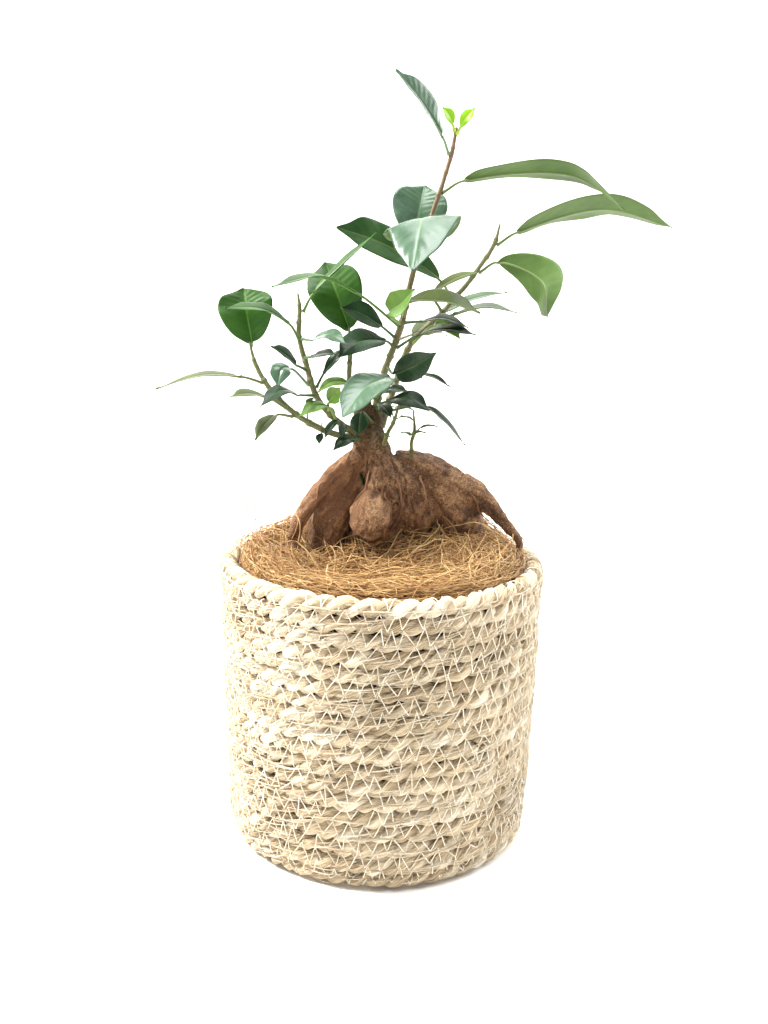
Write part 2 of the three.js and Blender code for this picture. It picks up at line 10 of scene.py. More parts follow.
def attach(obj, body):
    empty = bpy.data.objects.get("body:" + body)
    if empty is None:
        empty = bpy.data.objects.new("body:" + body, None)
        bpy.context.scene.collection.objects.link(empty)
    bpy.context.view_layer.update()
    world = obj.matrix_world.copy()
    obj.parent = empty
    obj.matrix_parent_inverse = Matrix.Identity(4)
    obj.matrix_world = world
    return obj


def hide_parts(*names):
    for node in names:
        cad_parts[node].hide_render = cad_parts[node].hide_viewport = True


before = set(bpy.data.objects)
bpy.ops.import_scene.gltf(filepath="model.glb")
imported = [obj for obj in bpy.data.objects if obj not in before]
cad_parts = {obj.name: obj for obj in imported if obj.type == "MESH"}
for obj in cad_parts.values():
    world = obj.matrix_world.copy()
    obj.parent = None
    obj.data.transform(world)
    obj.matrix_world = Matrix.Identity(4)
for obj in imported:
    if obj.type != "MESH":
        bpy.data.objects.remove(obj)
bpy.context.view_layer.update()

# Lengths are in millimetres until a mesh is made.
MM = 0.001
TURN = 2 * math.pi

# In metres: points this close are one, how near the root a strand may come, and how far off it is set.
WELD = 2e-6
SKIN_GAP = 0.0006
LIFT_OFF = 0.0007
# In metres: where rays start above and in front of the plant, and the lowest that the coir goes.
ABOVE_PLANT = 0.4
IN_FRONT = -0.2
COIR_FLOOR = 0.11

ROPE_PITCH = 8.1
ROPE_INSET = 3.9
STRANDS = 2
STRAND_ORBIT = 1.95
STRAND_RADIUS = 2.5
STRAND_LAY = 18
STEP_UP_SHARE = 0.14
STITCHES_PER_TURN = 68
BASKET_BORE = 74.6
GROUND_GAP = 0.02
# Turns of rope down the wall, where its pieces meet.
WALL_CUTS = (0, 4.7, 9.4, 14.1, 18.8)
STEPS_PER_TURN = 720
# Length counted for a turn, so that no two stretches of rope have the same fibres.
TURN_RUN = 500
THREAD_RADIUS = 0.25
HAIRS = 2600
SHREDS = 1500

COIR_REACH = 68.5
COIR_LEVEL = 136
COIR_STEPS = 15

LEAF_STATIONS = 56
LEAF_COLUMNS = 29
LEAF_THICKNESS = 0.34
STALK_RINGS = 5


# ---- Noise and curves ----

def lattice(cells, seed):
    """Repeatable numbers from 0 to 1 for whole-number cells."""
    mixed = cells[:, 0] * 73856093 ^ cells[:, 1] * 19349663 ^ cells[:, 2] * 83492791 ^ seed * 26544357
    mixed = (mixed ^ (mixed >> 13)) * 1274126177 & 0x7FFFFFFF
    mixed = (mixed ^ (mixed >> 15)) * 668265263 & 0x7FFFFFFF
    return (mixed >> 7) / float(0x7FFFFFFF >> 7)


def noise(points, size, seed=0):
    """Soft noise from -1 to 1 with lumps of about that size."""
    grid = np.asarray(points, float).reshape(-1, 3) / size
    cell = np.floor(grid).astype(np.int64)
    part = grid - cell
    part = part * part * (3 - 2 * part)
    total = np.zeros(len(grid))
    for corner in np.ndindex(2, 2, 2):
        weight = np.prod(np.where(np.array(corner) == 1, part, 1 - part), axis=1)
        total += weight * lattice(cell + np.array(corner), seed)
    return 2 * total - 1


def unit(vectors):
    return vectors / np.maximum(np.linalg.norm(vectors, axis=-1, keepdims=True), 1e-9)


def smoothstep(values, low, high):
    share = np.clip((values - low) / (high - low), 0, 1)
    return share * share * (3 - 2 * share)


def between_rings(values, places):
    """Smooth values at places counted in rings from 0."""
    values = np.asarray(values, float)
    padded = np.concatenate([2 * values[:1] - values[1:2], values, 2 * values[-1:] - values[-2:-1]])
    low = np.clip(np.floor(places).astype(int), 0, len(values) - 2)
    part = (places - low).reshape((-1,) + (1,) * (values.ndim - 1))
    a, b, c, d = (padded[low + k] for k in range(4))
    return b + 0.5 * part * (c - a + part * (2 * a - 5 * b + 4 * c - d + part * (3 * (b - c) + d - a)))


# ---- Meshes ----

def make_piece(name, points, faces, materials, slot, nodes, which=None, **values):
    """One shown piece standing for CAD nodes. values are numbers for each point, read by the materials."""
    mesh = bpy.data.meshes.new(name)
    faces = np.asarray(faces, np.int32)
    mesh.vertices.add(len(points))
    mesh.vertices.foreach_set("co", (np.asarray(points) * MM).astype(np.float32).ravel())
    mesh.loops.add(faces.size)
    mesh.loops.foreach_set("vertex_index", faces.ravel())
    mesh.polygons.add(len(faces))
    mesh.polygons.foreach_set("loop_start", np.arange(0, faces.size, faces.shape[1], dtype=np.int32))
    mesh.update(calc_edges=True)
    for key, numbers in values.items():
        layer = mesh.attributes.new(key, "FLOAT", "POINT")
        layer.data.foreach_set("value", np.asarray(numbers, np.float32).ravel())
    for material in materials:
        mesh.materials.append(material)
    if which is not None:
        mesh.polygons.foreach_set("material_index", np.asarray(which, np.int32))
    mesh.polygons.foreach_set("use_smooth", np.full(len(faces), True))
    piece = bpy.data.objects.new(name, mesh)
    bpy.context.scene.collection.objects.link(piece)
    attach(piece, "root")
    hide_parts(*nodes)


def carried_frames(paths):
    """Sides and ups along many paths at once, turned as little as possible. paths is (count, points, 3)."""
    tangents = unit(np.gradient(paths, axis=1))
    side = unit(np.cross(tangents[:, 0], np.array([0.31, 0.22, 0.92])))
    sides = np.empty_like(paths)
    for i in range(paths.shape[1]):
        side = unit(side - tangents[:, i] * np.sum(side * tangents[:, i], axis=1, keepdims=True))
        sides[:, i] = side
    return sides, np.cross(tangents, sides)


def tubes(paths, radii, corners):
    """Points and faces of closed tubes. radii is (count, points) or one number."""
    count, steps = paths.shape[:2]
    radii = np.broadcast_to(np.asarray(radii, float), (count, steps))
    sides, ups = carried_frames(paths)
    around = np.arange(corners) * TURN / corners
    ring = (sides[:, :, None] * np.cos(around)[:, None] + ups[:, :, None] * np.sin(around)[:, None])
    points = paths[:, :, None] + ring * radii[:, :, None, None]
    return points.reshape(-1, 3), tube_faces(count, steps, corners)


def tube_faces(count, steps, corners):
    """Side faces of tubes whose points run round each ring, then along, then tube by tube."""
    sizes = (count, steps - 1, corners)
    tube, step, corner = np.meshgrid(*map(np.arange, sizes), indexing="ij")
    first = (tube * steps + step) * corners
    after = (corner + 1) % corners
    near, far = (first + corner, first + after), (first + corners + after, first + corners + corner)
    return np.stack([*near, *far], -1).reshape(-1, 4)


def joined(parts):
    """Several (points, faces, value lists) as one."""
    base = 0
    all_faces = []
    for points, faces, *_ in parts:
        all_faces.append(faces + base)
        base += len(points)
    stacked = [np.concatenate([part[k] for part in parts]) for k in range(2, len(parts[0]))]
    return (np.concatenate([part[0] for part in parts]), np.concatenate(all_faces), *stacked)


def solid_mesh(node):
    """A welded copy of a CAD node's mesh, in metres."""
    shape = bmesh.new()
    shape.from_mesh(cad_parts[node].data)
    bmesh.ops.remove_doubles(shape, verts=shape.verts, dist=WELD)
    return shape


def search_tree(node):
    shape = solid_mesh(node)
    tree = BVHTree.FromBMesh(shape)
    shape.free()
    return tree


def skin_from_front(tree, x, z):
    """Where a ray from in front meets the skin, in metres, or None."""
    return tree.ray_cast(Vector((x * MM, IN_FRONT, z * MM)), Vector((0, 1, 0)))[0]


def rings_of(node, corners, thick_end_first):
    """The rings of a swept CAD node in order from its foot: (rings, corners, 3)."""
    shape = solid_mesh(node)
    caps = [v for v in shape.verts if len(v.link_edges) == corners]
    if thick_end_first:
        cap = max(caps, key=lambda v: sum(edge.calc_length() for edge in v.link_edges))
    else:
        cap = min(caps, key=lambda v: v.co.z)
    seen = {cap}
    layer = [cap]
    rings = []
    while True:
        beyond = [edge.other_vert(v) for v in layer for edge in v.link_edges]
        layer = list(dict.fromkeys(v for v in beyond if v not in seen))
        if len(layer) != corners:
            break
        seen.update(layer)
        rings.append([np.array(v.co) / MM for v in layer])
    shape.free()
    return np.array(rings)


# ---- Materials ----

def add(tree, kind, settings=None, **sockets):
    """A shader node; sockets are given by name with spaces as underscores, as numbers or as links."""
    made = tree.nodes.new(kind)
    for key, value in (settings or {}).items():
        setattr(made, key, value)
    for key, value in sockets.items():
        plug(tree, made.inputs[key.replace("_", " ")], value)
    return made


def plug(tree, socket, value):
    if isinstance(value, bpy.types.NodeSocket):
        tree.links.new(value, socket)
    else:
        socket.default_value = value


def calc(tree, operation, *values, clamp=False):
    made = tree.nodes.new("ShaderNodeMath")
    made.operation = operation
    made.use_clamp = clamp
    for socket, value in zip(made.inputs, values):
        plug(tree, socket, value)
    return made.outputs[0]


def ramp(tree, value, low, high, start=0.0, end=1.0):
    """value moved smoothly from start at low to end at high."""
    made = add(tree, "ShaderNodeMapRange", {"interpolation_type": "SMOOTHSTEP"}, Value=value)
    for key, number in (("From Min", low), ("From Max", high), ("To Min", start), ("To Max", end)):
        plug(tree, made.inputs[key], number)
    return made.outputs["Result"]


def mix(tree, share, first, second):
    made = tree.nodes.new("ShaderNodeMix")
    made.data_type = "RGBA"
    plug(tree, made.inputs[0], share)
    plug(tree, made.inputs[6], first)
    plug(tree, made.inputs[7], second)
    return made.outputs[2]


def read(tree, name):
    return add(tree, "ShaderNodeAttribute", {"attribute_name": name}).outputs["Fac"]


def colour(red, green, blue):
    """A colour given as it looks on screen, from 0 to 255."""
    linear = [((c / 255 + 0.055) / 1.055) ** 2.4 if c > 10 else c / 3294.6 for c in (red, green, blue)]
    return (*linear, 1.0)


def new_group(name, inputs, outputs):
    group = bpy.data.node_groups.new(name, "ShaderNodeTree")
    for key, kind, value in inputs:
        socket = group.interface.new_socket(key, in_out="INPUT", socket_type="NodeSocket" + kind)
        if value is not None:
            socket.default_value = value
    for key, kind in outputs:
        group.interface.new_socket(key, in_out="OUTPUT", socket_type="NodeSocket" + kind)
    return group, group.nodes.new("NodeGroupInput").outputs, group.nodes.new("NodeGroupOutput").inputs


def use(tree, group, **sockets):
    made = tree.nodes.new("ShaderNodeGroup")
    made.node_tree = group
    for key, value in sockets.items():
        plug(tree, made.inputs[key.replace("_", " ")], value)
    return made.outputs


def streaks_group():
    """Fine lines that run along a strand, from 0 to 1."""
    tree, given, out = new_group(
        "fibre streaks",
        [("Along", "Float", 0.0), ("Around", "Float", 0.0),
         ("Length", "Float", 12.0), ("Fineness", "Float", 6.0)],
        [("Streak", "Float")],
    )
    angle = calc(tree, "MULTIPLY", given["Around"], TURN)
    place = add(
        tree, "ShaderNodeCombineXYZ",
        X=calc(tree, "MULTIPLY", calc(tree, "COSINE", angle), given["Fineness"]),
        Y=calc(tree, "MULTIPLY", calc(tree, "SINE", angle), given["Fineness"]),
        Z=calc(tree, "DIVIDE", given["Along"], given["Length"]),
    ).outputs[0]
    lines = add(tree, "ShaderNodeTexNoise", Vector=place, Scale=1.0, Detail=3.0, Roughness=0.6).outputs[0]
    tree.links.new(ramp(tree, lines, 0.3, 0.7), out["Streak"])
    return tree


def three_colours_group():
    """Dark, middle and light colours by a mask from 0 to 1."""
    tree, given, out = new_group(
        "three colours",
        [("Mask", "Float", 0.5), ("Dark", "Color", None),
         ("Middle", "Color", None), ("Light", "Color", None)],
        [("Color", "Color")],
    )
    low = mix(tree, calc(tree, "MULTIPLY", given["Mask"], 2.0, clamp=True), given["Dark"], given["Middle"])
    high_share = calc(tree, "MULTIPLY_ADD", given["Mask"], 2.0, -1.0, clamp=True)
    tree.links.new(mix(tree, high_share, low, given["Light"]), out["Color"])
    return tree


def veins_group():
    """Midrib and paired side veins of a blade, from 0 to 1."""
    tree, given, out = new_group(
        "leaf veins",
        [("Along", "Float", 0.0), ("Across", "Float", 0.0), ("Pairs", "Float", 11.0)],
        [("Veins", "Float"), ("Midrib", "Float")],
    )
    away = calc(tree, "ABSOLUTE", given["Across"])
    phase = calc(tree, "SUBTRACT", calc(tree, "MULTIPLY", given["Along"], given["Pairs"]),
                 calc(tree, "MULTIPLY", away, 1.7))
    line = calc(tree, "PINGPONG", phase, 0.5)
    fade = ramp(tree, away, 0.55, 0.98, 1.0, 0.1)
    vein = calc(tree, "MULTIPLY", ramp(tree, line, 0.0, 0.11, 1.0, 0.0), fade)
    midrib = ramp(tree, away, 0.0, 0.075, 1.0, 0.0)
    tree.links.new(vein, out["Veins"])
    tree.links.new(midrib, out["Midrib"])
    return tree


STREAKS = streaks_group()
THREE_COLOURS = three_colours_group()
VEINS = veins_group()


def new_material(name):
    material = bpy.data.materials.new(name)
    material.use_nodes = True
    tree = material.node_tree
    tree.nodes.clear()
    surface = tree.nodes.new("ShaderNodeBsdfPrincipled")
    output = tree.nodes.new("ShaderNodeOutputMaterial")
    tree.links.new(surface.outputs[0], output.inputs[0])
    return material, tree, surface.inputs


def grain(tree, scale, detail=3.0):
    """Noise fixed to the object, with scale in lumps per metre."""
    place = add(tree, "ShaderNodeTexCoord").outputs["Object"]
    return add(tree, "ShaderNodeTexNoise", Vector=place, Scale=scale, Detail=detail).outputs[0]


def streaks(tree, around, length, fineness):
    return use(tree, STREAKS, Along=read(tree, "along"), Around=read(tree, around),
               Length=length, Fineness=fineness)["Streak"]


def shaded(tree, mask, dark, middle, light):
    return use(tree, THREE_COLOURS, Mask=mask, Dark=colour(*dark), Middle=colour(*middle),
               Light=colour(*light))["Color"]


def bump(tree, height, strength, distance):
    return add(tree, "ShaderNodeBump", Height=height, Strength=strength, Distance=distance).outputs[0]


def strand_material(name, shades, roughness, length, fineness, relief):
    """Dry plant fibre: streaks along the strand over a slow change of tone, which on the rope and coir also
    holds painted shade.
    """
    material, tree, surface = new_material(name)
    streak = streaks(tree, "around", length, fineness)
    tone = calc(tree, "MULTIPLY", read(tree, "tone"), 0.56)
    mask = calc(tree, "ADD", calc(tree, "MULTIPLY", streak, 0.5), tone)
    plug(tree, surface["Base Color"], shaded(tree, mask, *shades))
    surface["Roughness"].default_value = roughness
    surface["Specular IOR Level"].default_value = 0.25
    surface["Sheen Weight"].default_value = 0.15
    plug(tree, surface["Normal"], bump(tree, streak, 0.6, relief))
    return material


def thread_material():
    material, tree, surface = new_material("white stitching thread")
    twist = calc(tree, "SINE", calc(tree, "ADD", calc(tree, "MULTIPLY", read(tree, "along"), 5.5),
                                    calc(tree, "MULTIPLY", read(tree, "around"), TURN)))
    mask = calc(tree, "MULTIPLY_ADD", twist, 0.2, read(tree, "tone"))
    plug(tree, surface["Base Color"], shaded(tree, mask, (184, 168, 140), (228, 218, 194), (248, 244, 232)))
    surface["Roughness"].default_value = 0.55
    plug(tree, surface["Normal"], bump(tree, twist, 0.5, 0.0001))
    return material


def ground_material(name, shades, scale):
    """Loose earthy stuff with grains of several sizes."""
    material, tree, surface = new_material(name)
    coarse = grain(tree, scale, 5.0)
    fine = grain(tree, scale * 6, 3.0)
    grains = calc(tree, "MULTIPLY_ADD", fine, 0.4, calc(tree, "MULTIPLY", coarse, 0.7))
    mask = ramp(tree, grains, 0.35, 0.75)
    plug(tree, surface["Base Color"], shaded(tree, mask, *shades))
    surface["Roughness"].default_value = 0.95
    plug(tree, surface["Normal"], bump(tree, mask, 0.8, 0.0008))
    return material


def pot_material():
    material, tree, surface = new_material("black pot plastic")
    dust = ramp(tree, grain(tree, 60.0, 4.0), 0.35, 0.8)
    plug(tree, surface["Base Color"], mix(tree, dust, colour(28, 28, 28), colour(56, 52, 47)))
    plug(tree, surface["Roughness"], calc(tree, "MULTIPLY_ADD", dust, 0.3, 0.4))
    plug(tree, surface["Normal"], bump(tree, grain(tree, 1500.0, 2.0), 0.2, 0.0001))
    return material


def bark_material():
    """Brown bark: pale on ridges and pores, partly painted highlight, with painted shade in cracks and low
    down, reddish on one root, greenish near the crown.
    """
    material, tree, surface = new_material("ficus root bark")
    # ridge holds the bark's relief together with painted highlight and painted shade; it sets both colour and
    # bump.
    ridge = read(tree, "ridge")
    blotch = ramp(tree, grain(tree, 55.0, 4.0), 0.3, 0.7)
    small = ramp(tree, grain(tree, 1500.0, 3.0), 0.34, 0.66)
    large = ramp(tree, grain(tree, 600.0, 4.0), 0.36, 0.64)
    speck = calc(tree, "MULTIPLY_ADD", small, 0.65, calc(tree, "MULTIPLY", large, 0.35))
    uneven = calc(tree, "MULTIPLY_ADD", blotch, 0.06, calc(tree, "MULTIPLY", speck, 0.52))
    mask = calc(tree, "ADD", calc(tree, "MULTIPLY", ridge, 0.44), uneven)
    brown = shaded(tree, mask, (42, 24, 14), (122, 88, 61), (196, 154, 111))
    reddish = mix(tree, read(tree, "reddish"), brown, colour(152, 108, 78))
    greenish = mix(tree, read(tree, "young"), reddish, colour(66, 57, 32))
    place = add(tree, "ShaderNodeTexCoord").outputs["Object"]
    cells = add(tree, "ShaderNodeTexVoronoi", Vector=place, Scale=480.0).outputs["Distance"]
    patches = ramp(tree, grain(tree, 90.0, 2.0), 0.5, 0.64, 0.0, 0.4)
    pores = calc(tree, "MULTIPLY", ramp(tree, cells, 0.16, 0.3, 1.0, 0.0), patches)
    plug(tree, surface["Base Color"], mix(tree, pores, greenish, colour(178, 144, 106)))
    plug(tree, surface["Roughness"], calc(tree, "MULTIPLY_ADD", speck, 0.25, 0.5))
    surface["Specular IOR Level"].default_value = 0.3
    raised = calc(tree, "MULTIPLY_ADD", pores, 0.8, ridge)
    height = calc(tree, "ADD", calc(tree, "MULTIPLY", speck, 0.6), raised)
    plug(tree, surface["Normal"], bump(tree, height, 1.0, 0.0012))
    return material


def shoot_material(name, green, brown, light):
    """Young wood: green skin turning brown, with fine lengthwise cracks and pale corky dots."""
    material, tree, surface = new_material(name)
    streak = streaks(tree, "around", 9.0, 2.6)
    age = calc(tree, "ADD", read(tree, "age"), calc(tree, "MULTIPLY_ADD", streak, 0.5, -0.25), clamp=True)
    skin = mix(tree, age, green, brown)
    dots = ramp(tree, grain(tree, 1400.0, 1.0), 0.6, 0.72)
    plug(tree, surface["Base Color"], mix(tree, calc(tree, "MULTIPLY", dots, 0.5), skin, light))
    surface["Roughness"].default_value = 0.48
    plug(tree, surface["Normal"], bump(tree, calc(tree, "ADD", streak, dots), 0.5, 0.00015))
    return material


def blade_material(name, dark, light, vein, roughness, relief, coat):
    material, tree, surface = new_material(name)
    veins = use(tree, VEINS, Along=read(tree, "along"), Across=read(tree, "across"), Pairs=11.0)
    cloud = ramp(tree, grain(tree, 75.0, 4.0), 0.3, 0.7)
    body = mix(tree, cloud, dark, light)
    lines = calc(tree, "ADD", calc(tree, "MULTIPLY", veins["Veins"], 0.1),
                 calc(tree, "MULTIPLY", veins["Midrib"], 0.55), clamp=True)
    plug(tree, surface["Base Color"], mix(tree, lines, body, vein))
    plug(tree, surface["Roughness"], calc(tree, "MULTIPLY_ADD", cloud, 0.12, roughness))
    surface["Specular IOR Level"].default_value = 0.28
    surface["Coat Weight"].default_value = coat
    surface["Coat Roughness"].default_value = 0.22
    skin = calc(tree, "MULTIPLY", grain(tree, 900.0, 2.0), 0.15)
    height = calc(tree, "ADD", calc(tree, "MULTIPLY", lines, relief), skin)
    plug(tree, surface["Normal"], bump(tree, height, 0.55, 0.0003))
    return material


def stalk_material(name, base, tip):
    material, tree, surface = new_material(name)
    streak = streaks(tree, "across", 0.3, 2.0)
    plug(tree, surface["Base Color"], mix(tree, streak, base, tip))
    surface["Roughness"].default_value = 0.4
    plug(tree, surface["Normal"], bump(tree, streak, 0.4, 0.0001))
    return material


# ---- Basket ----

def basket_profile():
    """Where the rope's middle runs, from the CAD basket's rim down and in to the middle of its floor.

    Gives distances down the wall, places (radius, height) and outward directions."""
    shape = solid_mesh("rope_basket")
    seen = np.array([(math.hypot(v.co.x, v.co.y) / MM, v.co.z / MM) for v in shape.verts])
    shape.free()
    levels = {}
    for radius, height in seen:
        key = round(height, 1)
        levels[key] = max(levels.get(key, 0), radius)
    top = max(levels)
    outline = [(levels[key], key) for key in sorted(levels, reverse=True)]
    widest = max(levels.values())
    outline = [(widest, top)] + [place for place in outline if place[1] < 0.5 * top] + [(0, 0)]
    outline = np.array(outline, float)
    lengths = np.concatenate([[0], np.cumsum(np.linalg.norm(np.diff(outline, axis=0), axis=1))])
    spots = np.arange(0, lengths[-1], 0.5)
    places = np.stack([np.interp(spots, lengths, outline[:, k]) for k in range(2)], 1)
    along = unit(np.gradient(places, axis=0))
    for _ in range(6):
        along[1:-1] = unit(along[:-2] + 2 * along[1:-1] + along[2:])
    outward = np.stack([-along[:, 1], along[:, 0]], 1)
    inner = places - outward * ROPE_INSET
    kept = (inner[:, 1] <= top - ROPE_INSET) & (inner[:, 0] > 2)
    inner, outward = inner[kept], outward[kept]
    spots = np.concatenate([[0], np.cumsum(np.linalg.norm(np.diff(inner, axis=0), axis=1))])
    return spots, inner, outward


PROFILE_SPOTS, PROFILE_PLACES, PROFILE_OUT = basket_profile()
PROFILE_LENGTH = PROFILE_SPOTS[-1]
ROWS = int(PROFILE_LENGTH / ROPE_PITCH)


def row_place(turns):
    """Distance down the wall after some turns from the rim; rows stay level and step down at the back."""
    whole = np.floor(turns)
    return ROPE_PITCH * (whole + smoothstep(turns - whole, 1 - STEP_UP_SHARE, 1))


def on_basket(place, turns, out):
    """Points of the wall: place down it, turns round it from the back, out from the rope's middle."""
    angle = math.pi / 2 - TURN * turns
    radius, height = (np.interp(place, PROFILE_SPOTS, PROFILE_PLACES[:, k]) for k in range(2))
    away, rise = (np.interp(place, PROFILE_SPOTS, PROFILE_OUT[:, k]) for k in range(2))
    ray = np.stack([np.cos(angle), np.sin(angle)], 1)
    spot = np.column_stack([ray * radius[:, None], height])
    loose = smoothstep(height, 6, 40)
    sway = 0.95 * noise(spot, 46, 3) + 0.5 * noise(spot, 17, 4)
    sag = 0.9 * noise(spot, 52, 5) + 0.45 * noise(spot, 19, 6)
    radius = radius + away * out + loose * sway
    height = height + rise * out + loose * sag
    return np.column_stack([ray * radius[:, None], height])


def rope(first_turn, last_turn, step, corners):
    """The strands of the rope between two turns: points, faces and the values for its material."""
    fine = np.linspace(first_turn, last_turn, int((last_turn - first_turn) * STEPS_PER_TURN) + 2)
    middle = on_basket(np.minimum(row_place(fine), PROFILE_LENGTH), fine, 0)
    run = np.concatenate([[0], np.cumsum(np.linalg.norm(np.diff(middle, axis=0), axis=1))])
    spots = np.linspace(0, run[-1], int(run[-1] / step) + 2)
    turns = np.interp(spots, run, fine)
    spots = spots + first_turn * TURN_RUN
    place = np.minimum(row_place(turns), PROFILE_LENGTH)
    middle = on_basket(place, turns, 0)
    tangent = unit(np.gradient(middle, axis=0))
    outward = on_basket(place, turns, 1) - middle
    outward = unit(outward - tangent * np.sum(outward * tangent, axis=1, keepdims=True))
    down = np.cross(tangent, outward)
    lane = np.column_stack([spots, np.zeros_like(spots), np.full_like(spots, 7.0)])
    lay = spots / STRAND_LAY + 0.22 * noise(lane, 60, 11)
    taper = smoothstep(turns, 0, 0.1)
    around = np.arange(corners) / corners
    parts = []
    for strand in range(STRANDS):
        turn = TURN * (lay + strand / STRANDS)
        orbit = STRAND_ORBIT * (1 + 0.22 * noise(lane, 21, 12 + strand))
        uneven = 0.26 * noise(lane, 11, 17 + strand) + 0.12 * noise(lane, 5, 27 + strand)
        radius = STRAND_RADIUS * (1 + uneven) * (0.35 + 0.65 * taper)
        heart = middle + (outward * np.cos(turn)[:, None] - down * np.sin(turn)[:, None]) * orbit[:, None]
        slope = unit(np.gradient(heart, axis=0))
        side = unit(outward - slope * np.sum(outward * slope, axis=1, keepdims=True))
        up = np.cross(slope, side)
        spin = TURN * (around[None] + spots[:, None] / 90)
        coat = np.stack([np.cos(spin) * 3.1, np.sin(spin) * 3.1,
                         np.broadcast_to(spots[:, None] / 11, spin.shape)], -1).reshape(-1, 3)
        ridges = 0.2 * noise(coat, 1, 33 + strand) + 0.12 * noise(coat, 0.45, 37 + strand)
        ridges = ridges.reshape(spin.shape)
        reach = radius[:, None] * (1 + ridges)
        flat = TURN * around
        points = (heart[:, None] + side[:, None] * (np.cos(flat)[:, None] * reach[..., None])
                  + up[:, None] * (np.sin(flat)[:, None] * reach[..., None]))
        points = points.reshape(-1, 3)
        # Tone of the fibres: random along the rope, plus painted shade. It is lighter on the bulges of each
        # strand and darker in its dips, and darker on the lowest rows near the floor.
        tone = 0.5 + 0.55 * noise(lane, 21, 43 + strand) + 0.3 * noise(middle, 38, 9)
        tone = (tone - 0.22 * (1 - smoothstep(middle[:, 2], 5, 75)))[:, None] + 1.2 * ridges
        parts.append((points, tube_faces(1, len(spots), corners),
                      np.repeat(spots, corners), (spin / TURN).ravel(), np.clip(tone, 0, 1).ravel()))
    return joined(parts)


def value_tubes(paths, radii, corners, tones):
    """Tubes with the values along, around and tone."""
    points, faces = tubes(paths, radii, corners)
    count, steps = paths.shape[:2]
    gaps = np.linalg.norm(np.diff(paths, axis=1), axis=2)
    along = np.concatenate([np.zeros((count, 1)), np.cumsum(gaps, axis=1)], axis=1)
    along = np.repeat(along, corners, axis=1).ravel()
    around = np.tile(np.arange(corners) / corners, count * steps)
    return points, faces, along, around, np.repeat(tones, steps * corners)


def stitches(first_row, last_row, rng):
    """Zigzag thread across every join of two rows: straight legs that dive into the rope at both ends."""
    starts, ends, turns_a, turns_b = [], [], [], []
    for row in range(first_row, last_row):
        per_turn = STITCHES_PER_TURN * (1 + 0.06 * math.sin(row * 2.3))
        corners = np.arange(int(2 * per_turn) + 1) / (2 * per_turn) + rng.uniform(0, 0.02)
        corners = corners + rng.normal(0, 0.0019, len(corners))
        high = row + rng.normal(-0.02, 0.13, len(corners))
        low = row + 1 + rng.normal(0.02, 0.13, len(corners))
        levels = np.where(np.arange(len(corners)) % 2 == 0, high, low)
        kept = rng.random(len(corners) - 1) > 0.08
        starts.append(levels[:-1][kept])
        ends.append(levels[1:][kept])
        turns_a.append(corners[:-1][kept])
        turns_b.append(corners[1:][kept])
    starts, ends, turns_a, turns_b = (np.concatenate(each) for each in (starts, ends, turns_a, turns_b))
    shares = np.array([-0.04, 0.02, 0.25, 0.5, 0.75, 0.98, 1.04])
    outs = np.array([2.4, 4.2, 4.4, 4.25, 4.4, 4.2, 2.4])
    paths = []
    for share, out in zip(shares, outs):
        turns = turns_a + (turns_b - turns_a) * share
        level = starts + (ends - starts) * share
        place = np.clip(row_place(turns % 1) + ROPE_PITCH * level, 0, PROFILE_LENGTH)
        paths.append(on_basket(place, turns, np.full(len(turns), out) + rng.normal(0, 0.1, len(turns))))
    return value_tubes(np.stack(paths, 1), THREAD_RADIUS, 5, rng.uniform(0.3, 0.85, len(starts)))


def rim_stitches(rng):
    """Thread carried over the top of the highest row."""
    count = 2 * STITCHES_PER_TURN
    corners = np.arange(count) / count + rng.normal(0, 0.0012, count)
    paths = []
    for share in np.linspace(0, 1, 8):
        turns = corners[:-1] + (corners[1:] - corners[:-1]) * share
        flip = np.where(np.arange(len(turns)) % 2 == 0, 1, -1)
        swing = (2 * share - 1) * 1.5 * flip
        centre = on_basket(row_place(turns % 1), turns, 0)
        outer = unit(on_basket(row_place(turns % 1), turns, 1) - centre)
        arch = outer * np.sin(swing)[:, None] + np.array([0, 0, 1]) * np.cos(swing)[:, None]
        paths.append(centre + 4.5 * arch)
    kept = rng.random(len(corners) - 1) > 0.45
    tones = rng.uniform(0.3, 0.85, int(kept.sum()))
    return value_tubes(np.stack(paths, 1)[kept], THREAD_RADIUS, 5, tones)


def wall_hairs(count, rng):
    """Fine loose hairs of the rope."""
    length = rng.uniform(4, 15, count)
    turns = rng.uniform(0, 1, count)
    place = rng.uniform(0, 150, count)
    lean = rng.normal(0, 1, count)
    drop = rng.normal(0.1, 0.55, count)
    lift = rng.uniform(0.5, 3.2, count)
    paths = []
    for share in np.linspace(0, 1, 6):
        around = turns + np.sign(lean) * length * share / (TURN * 80)
        down = np.clip(place + length * share * drop * 0.7, 0, PROFILE_LENGTH)
        paths.append(on_basket(down, around, 3.4 + 1.1 * math.sin(share * 2.4) + lift * share ** 1.7))
    paths = np.stack(paths, 1)
    paths[..., 2] = np.maximum(paths[..., 2], 0.3)
    radii = np.linspace(1, 0.35, 6)[None] * rng.uniform(0.07, 0.13, count)[:, None]
    return value_tubes(paths, radii, 3, rng.uniform(0.3, 1, count))


